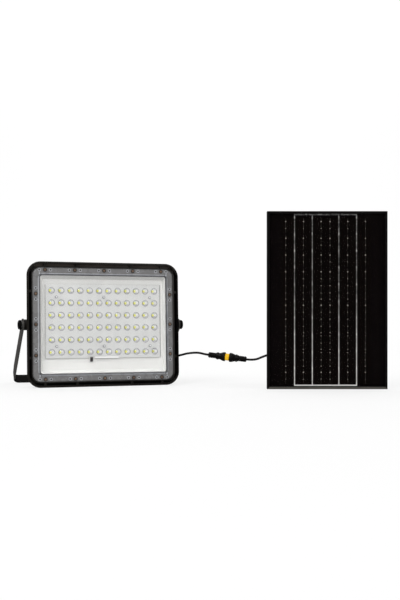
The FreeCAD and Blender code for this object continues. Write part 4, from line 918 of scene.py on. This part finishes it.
# ---------------------------------------------------------------- cell pads
def build_cell_pads():
    """Thin printed lines between the ribbons, each with two or three small solder pads to a cell."""
    middle = CELL_CENTRE_X - 0.6 * MM
    two_pads = ((8.0 * MM, 0.75 * MM), (-5.6 * MM, 0.5 * MM))
    three_pads = ((13.8 * MM, 0.54 * MM), (-0.6 * MM, 0.5 * MM), (-12.9 * MM, 0.54 * MM))
    cells_with_three = (1, 2, 3, 5)
    front = GLASS_BACK + 0.05 * MM
    pads, prints = [], []
    for line in (0, 2, 4, 5, 7, 9):
        x = middle + (line - 4.5) * RIBBON_PITCH
        for cell in range(CELL_COUNT):
            z = (cell - (CELL_COUNT - 1) / 2) * CELL_PITCH + CELL_CENTRE_Z
            for step, half in three_pads if cell in cells_with_three else two_pads:
                low = (x - half, front, z + step - half)
                high = (x + half, CELL_FRONT, z + step + half)
                pads.append(block(low, high, 0.05 * MM))
            half = 0.3 * MM
            reach = 14.6 * MM
            low = (x - half, CELL_FRONT - 0.05 * MM, z - reach)
            high = (x + half, CELL_FRONT + 0.1 * MM, z + reach)
            prints.append(block(low, high, 0.01 * MM))
    piece = add_piece("cell_pads", *merged(pads), PANEL, "panel", "cell_ribbons", smooth=False)
    piece.data.materials.append(solder_pad("pad_tin", (0.86, 0.80, 0.72)))
    piece = add_piece("cell_prints", *merged(prints), PANEL, "panel", "solar_cells", smooth=False)
    piece.data.materials.append(solder_pad("print_grey", (0.030, 0.026, 0.022)))


# ---------------------------------------------------------------- stage
CAMERA_HEIGHT = 137.5 * MM
CAMERA_LEFT = 250.4 * MM
CAMERA_BACK = 1768.5 * MM
CAMERA_RISE = 37.8 * MM
FOCAL = 54
SENSOR = 36


def build_camera():
    """Level camera in front, left of the panel's middle, with its picture shifted up by a rise."""
    camera = bpy.data.objects.new("camera", bpy.data.cameras.new("camera"))
    bpy.context.scene.collection.objects.link(camera)
    camera.data.lens = FOCAL
    camera.data.sensor_width = SENSOR
    camera.data.shift_y = CAMERA_RISE / CAMERA_BACK * FOCAL / SENSOR
    front = PANEL.translation
    camera.location = (front.x - CAMERA_LEFT, front.y - CAMERA_BACK, CAMERA_HEIGHT)
    camera.rotation_euler = (math.radians(90), 0, 0)
    bpy.context.scene.camera = camera


STAGE_GLOW = 0.67


def plain_stage(name, colour):
    """Pale matt backdrop that glows a little, and is dark in reflections so that black parts stay black."""
    nodes = Nodes(name)
    cloud = nodes.noise(3, detail=2)
    nodes.colour(nodes.ramp(cloud, [(0.3, shade(colour, 0.99)), (0.7, colour)]))
    nodes.value("Roughness", 0.9)
    nodes.value("Specular IOR Level", 0.1)
    nodes.value("Emission Color", (1.0, 1.0, 1.0, 1.0))
    nodes.value("Emission Strength", STAGE_GLOW)
    nodes.material.cycles.emission_sampling = "NONE"
    dark = nodes.new("ShaderNodeBsdfDiffuse")
    dark.inputs["Color"].default_value = (0.10, 0.10, 0.10, 1.0)
    mix = nodes.new("ShaderNodeMixShader")
    nodes.link(seen_in_shine(nodes.tree), mix.inputs["Fac"])
    nodes.link(nodes.shader.outputs["BSDF"], mix.inputs[1])
    nodes.link(dark.outputs["BSDF"], mix.inputs[2])
    nodes.link(mix.outputs["Shader"], nodes.output.inputs["Surface"])
    return nodes.material


def build_stage():
    """A pale floor that curves up into a pale wall."""
    half = 5.0
    bend = 1.2
    back = 3.2
    profile = [(-6.0, 0.0)]
    for i in range(17):
        angle = math.pi / 2 * i / 16
        profile.append((back - bend + bend * math.sin(angle), bend * (1 - math.cos(angle))))
    profile.append((back, 5.0))
    vertices = []
    for y, z in profile:
        vertices += [(-half, y, z), (half, y, z)]
    faces = [(2 * i, 2 * i + 1, 2 * i + 3, 2 * i + 2) for i in range(len(profile) - 1)]
    mesh = bpy.data.meshes.new("floor")
    mesh.from_pydata(vertices, [], faces)
    for polygon in mesh.polygons:
        polygon.use_smooth = True
    floor = bpy.data.objects.new("floor", mesh)
    bpy.context.scene.collection.objects.link(floor)
    mesh.materials.append(plain_stage("stage_white", (0.25, 0.25, 0.25)))


def soft_light(name, place, target, size, power):
    """An area light at a place, turned to a target."""
    light = bpy.data.lights.new(name, "AREA")
    light.shape = "RECTANGLE"
    light.size, light.size_y = size
    light.energy = power
    lamp = bpy.data.objects.new(name, light)
    lamp.location = place
    way = Vector(target) - Vector(place)
    lamp.rotation_euler = way.to_track_quat("-Z", "Y").to_euler()
    bpy.context.scene.collection.objects.link(lamp)


def studio_world():
    """White surroundings that light the object but reflect in it only faintly."""
    world = bpy.data.worlds.new("world")
    world.use_nodes = True
    tree = world.node_tree
    bright = tree.nodes["Background"]
    bright.inputs["Color"].default_value = (1.0, 1.0, 1.0, 1.0)
    bright.inputs["Strength"].default_value = 0.80
    faint = tree.nodes.new("ShaderNodeBackground")
    faint.inputs["Color"].default_value = (1.0, 1.0, 1.0, 1.0)
    faint.inputs["Strength"].default_value = 0.10
    mix = tree.nodes.new("ShaderNodeMixShader")
    tree.links.new(seen_in_shine(tree), mix.inputs["Fac"])
    tree.links.new(bright.outputs["Background"], mix.inputs[1])
    tree.links.new(faint.outputs["Background"], mix.inputs[2])
    tree.links.new(mix.outputs["Shader"], tree.nodes["World Output"].inputs["Surface"])
    return world


def build_studio():
    """Four soft lights and the surroundings."""
    target = (0, 0, 0.15)
    soft_light("key", (-1.6, -2.2, 2.4), target, (1.8, 1.2), 40)
    soft_light("fill", (2.2, -2.0, 1.6), target, (1.4, 1.4), 15)
    soft_light("top", (0, 0.6, 2.8), target, (3.0, 2.0), 20)
    soft_light("wall", (0, 1.4, 2.6), (0, 3.2, 1.0), (4.0, 1.0), 30)
    bpy.context.scene.world = studio_world()
    bpy.context.scene.view_settings.view_transform = "Standard"


finish_nodes()
finish_cover()
paint_groove_light_and_shade()
build_tray_lip()
finish_bracket_foot()
finish_screw_heads()
finish_lens_screws()
finish_tray_slopes()
finish_bottom_rail()
finish_lens_rims()
build_lights()
build_leads()
build_cell_pads()
build_stage()
build_camera()
build_studio()
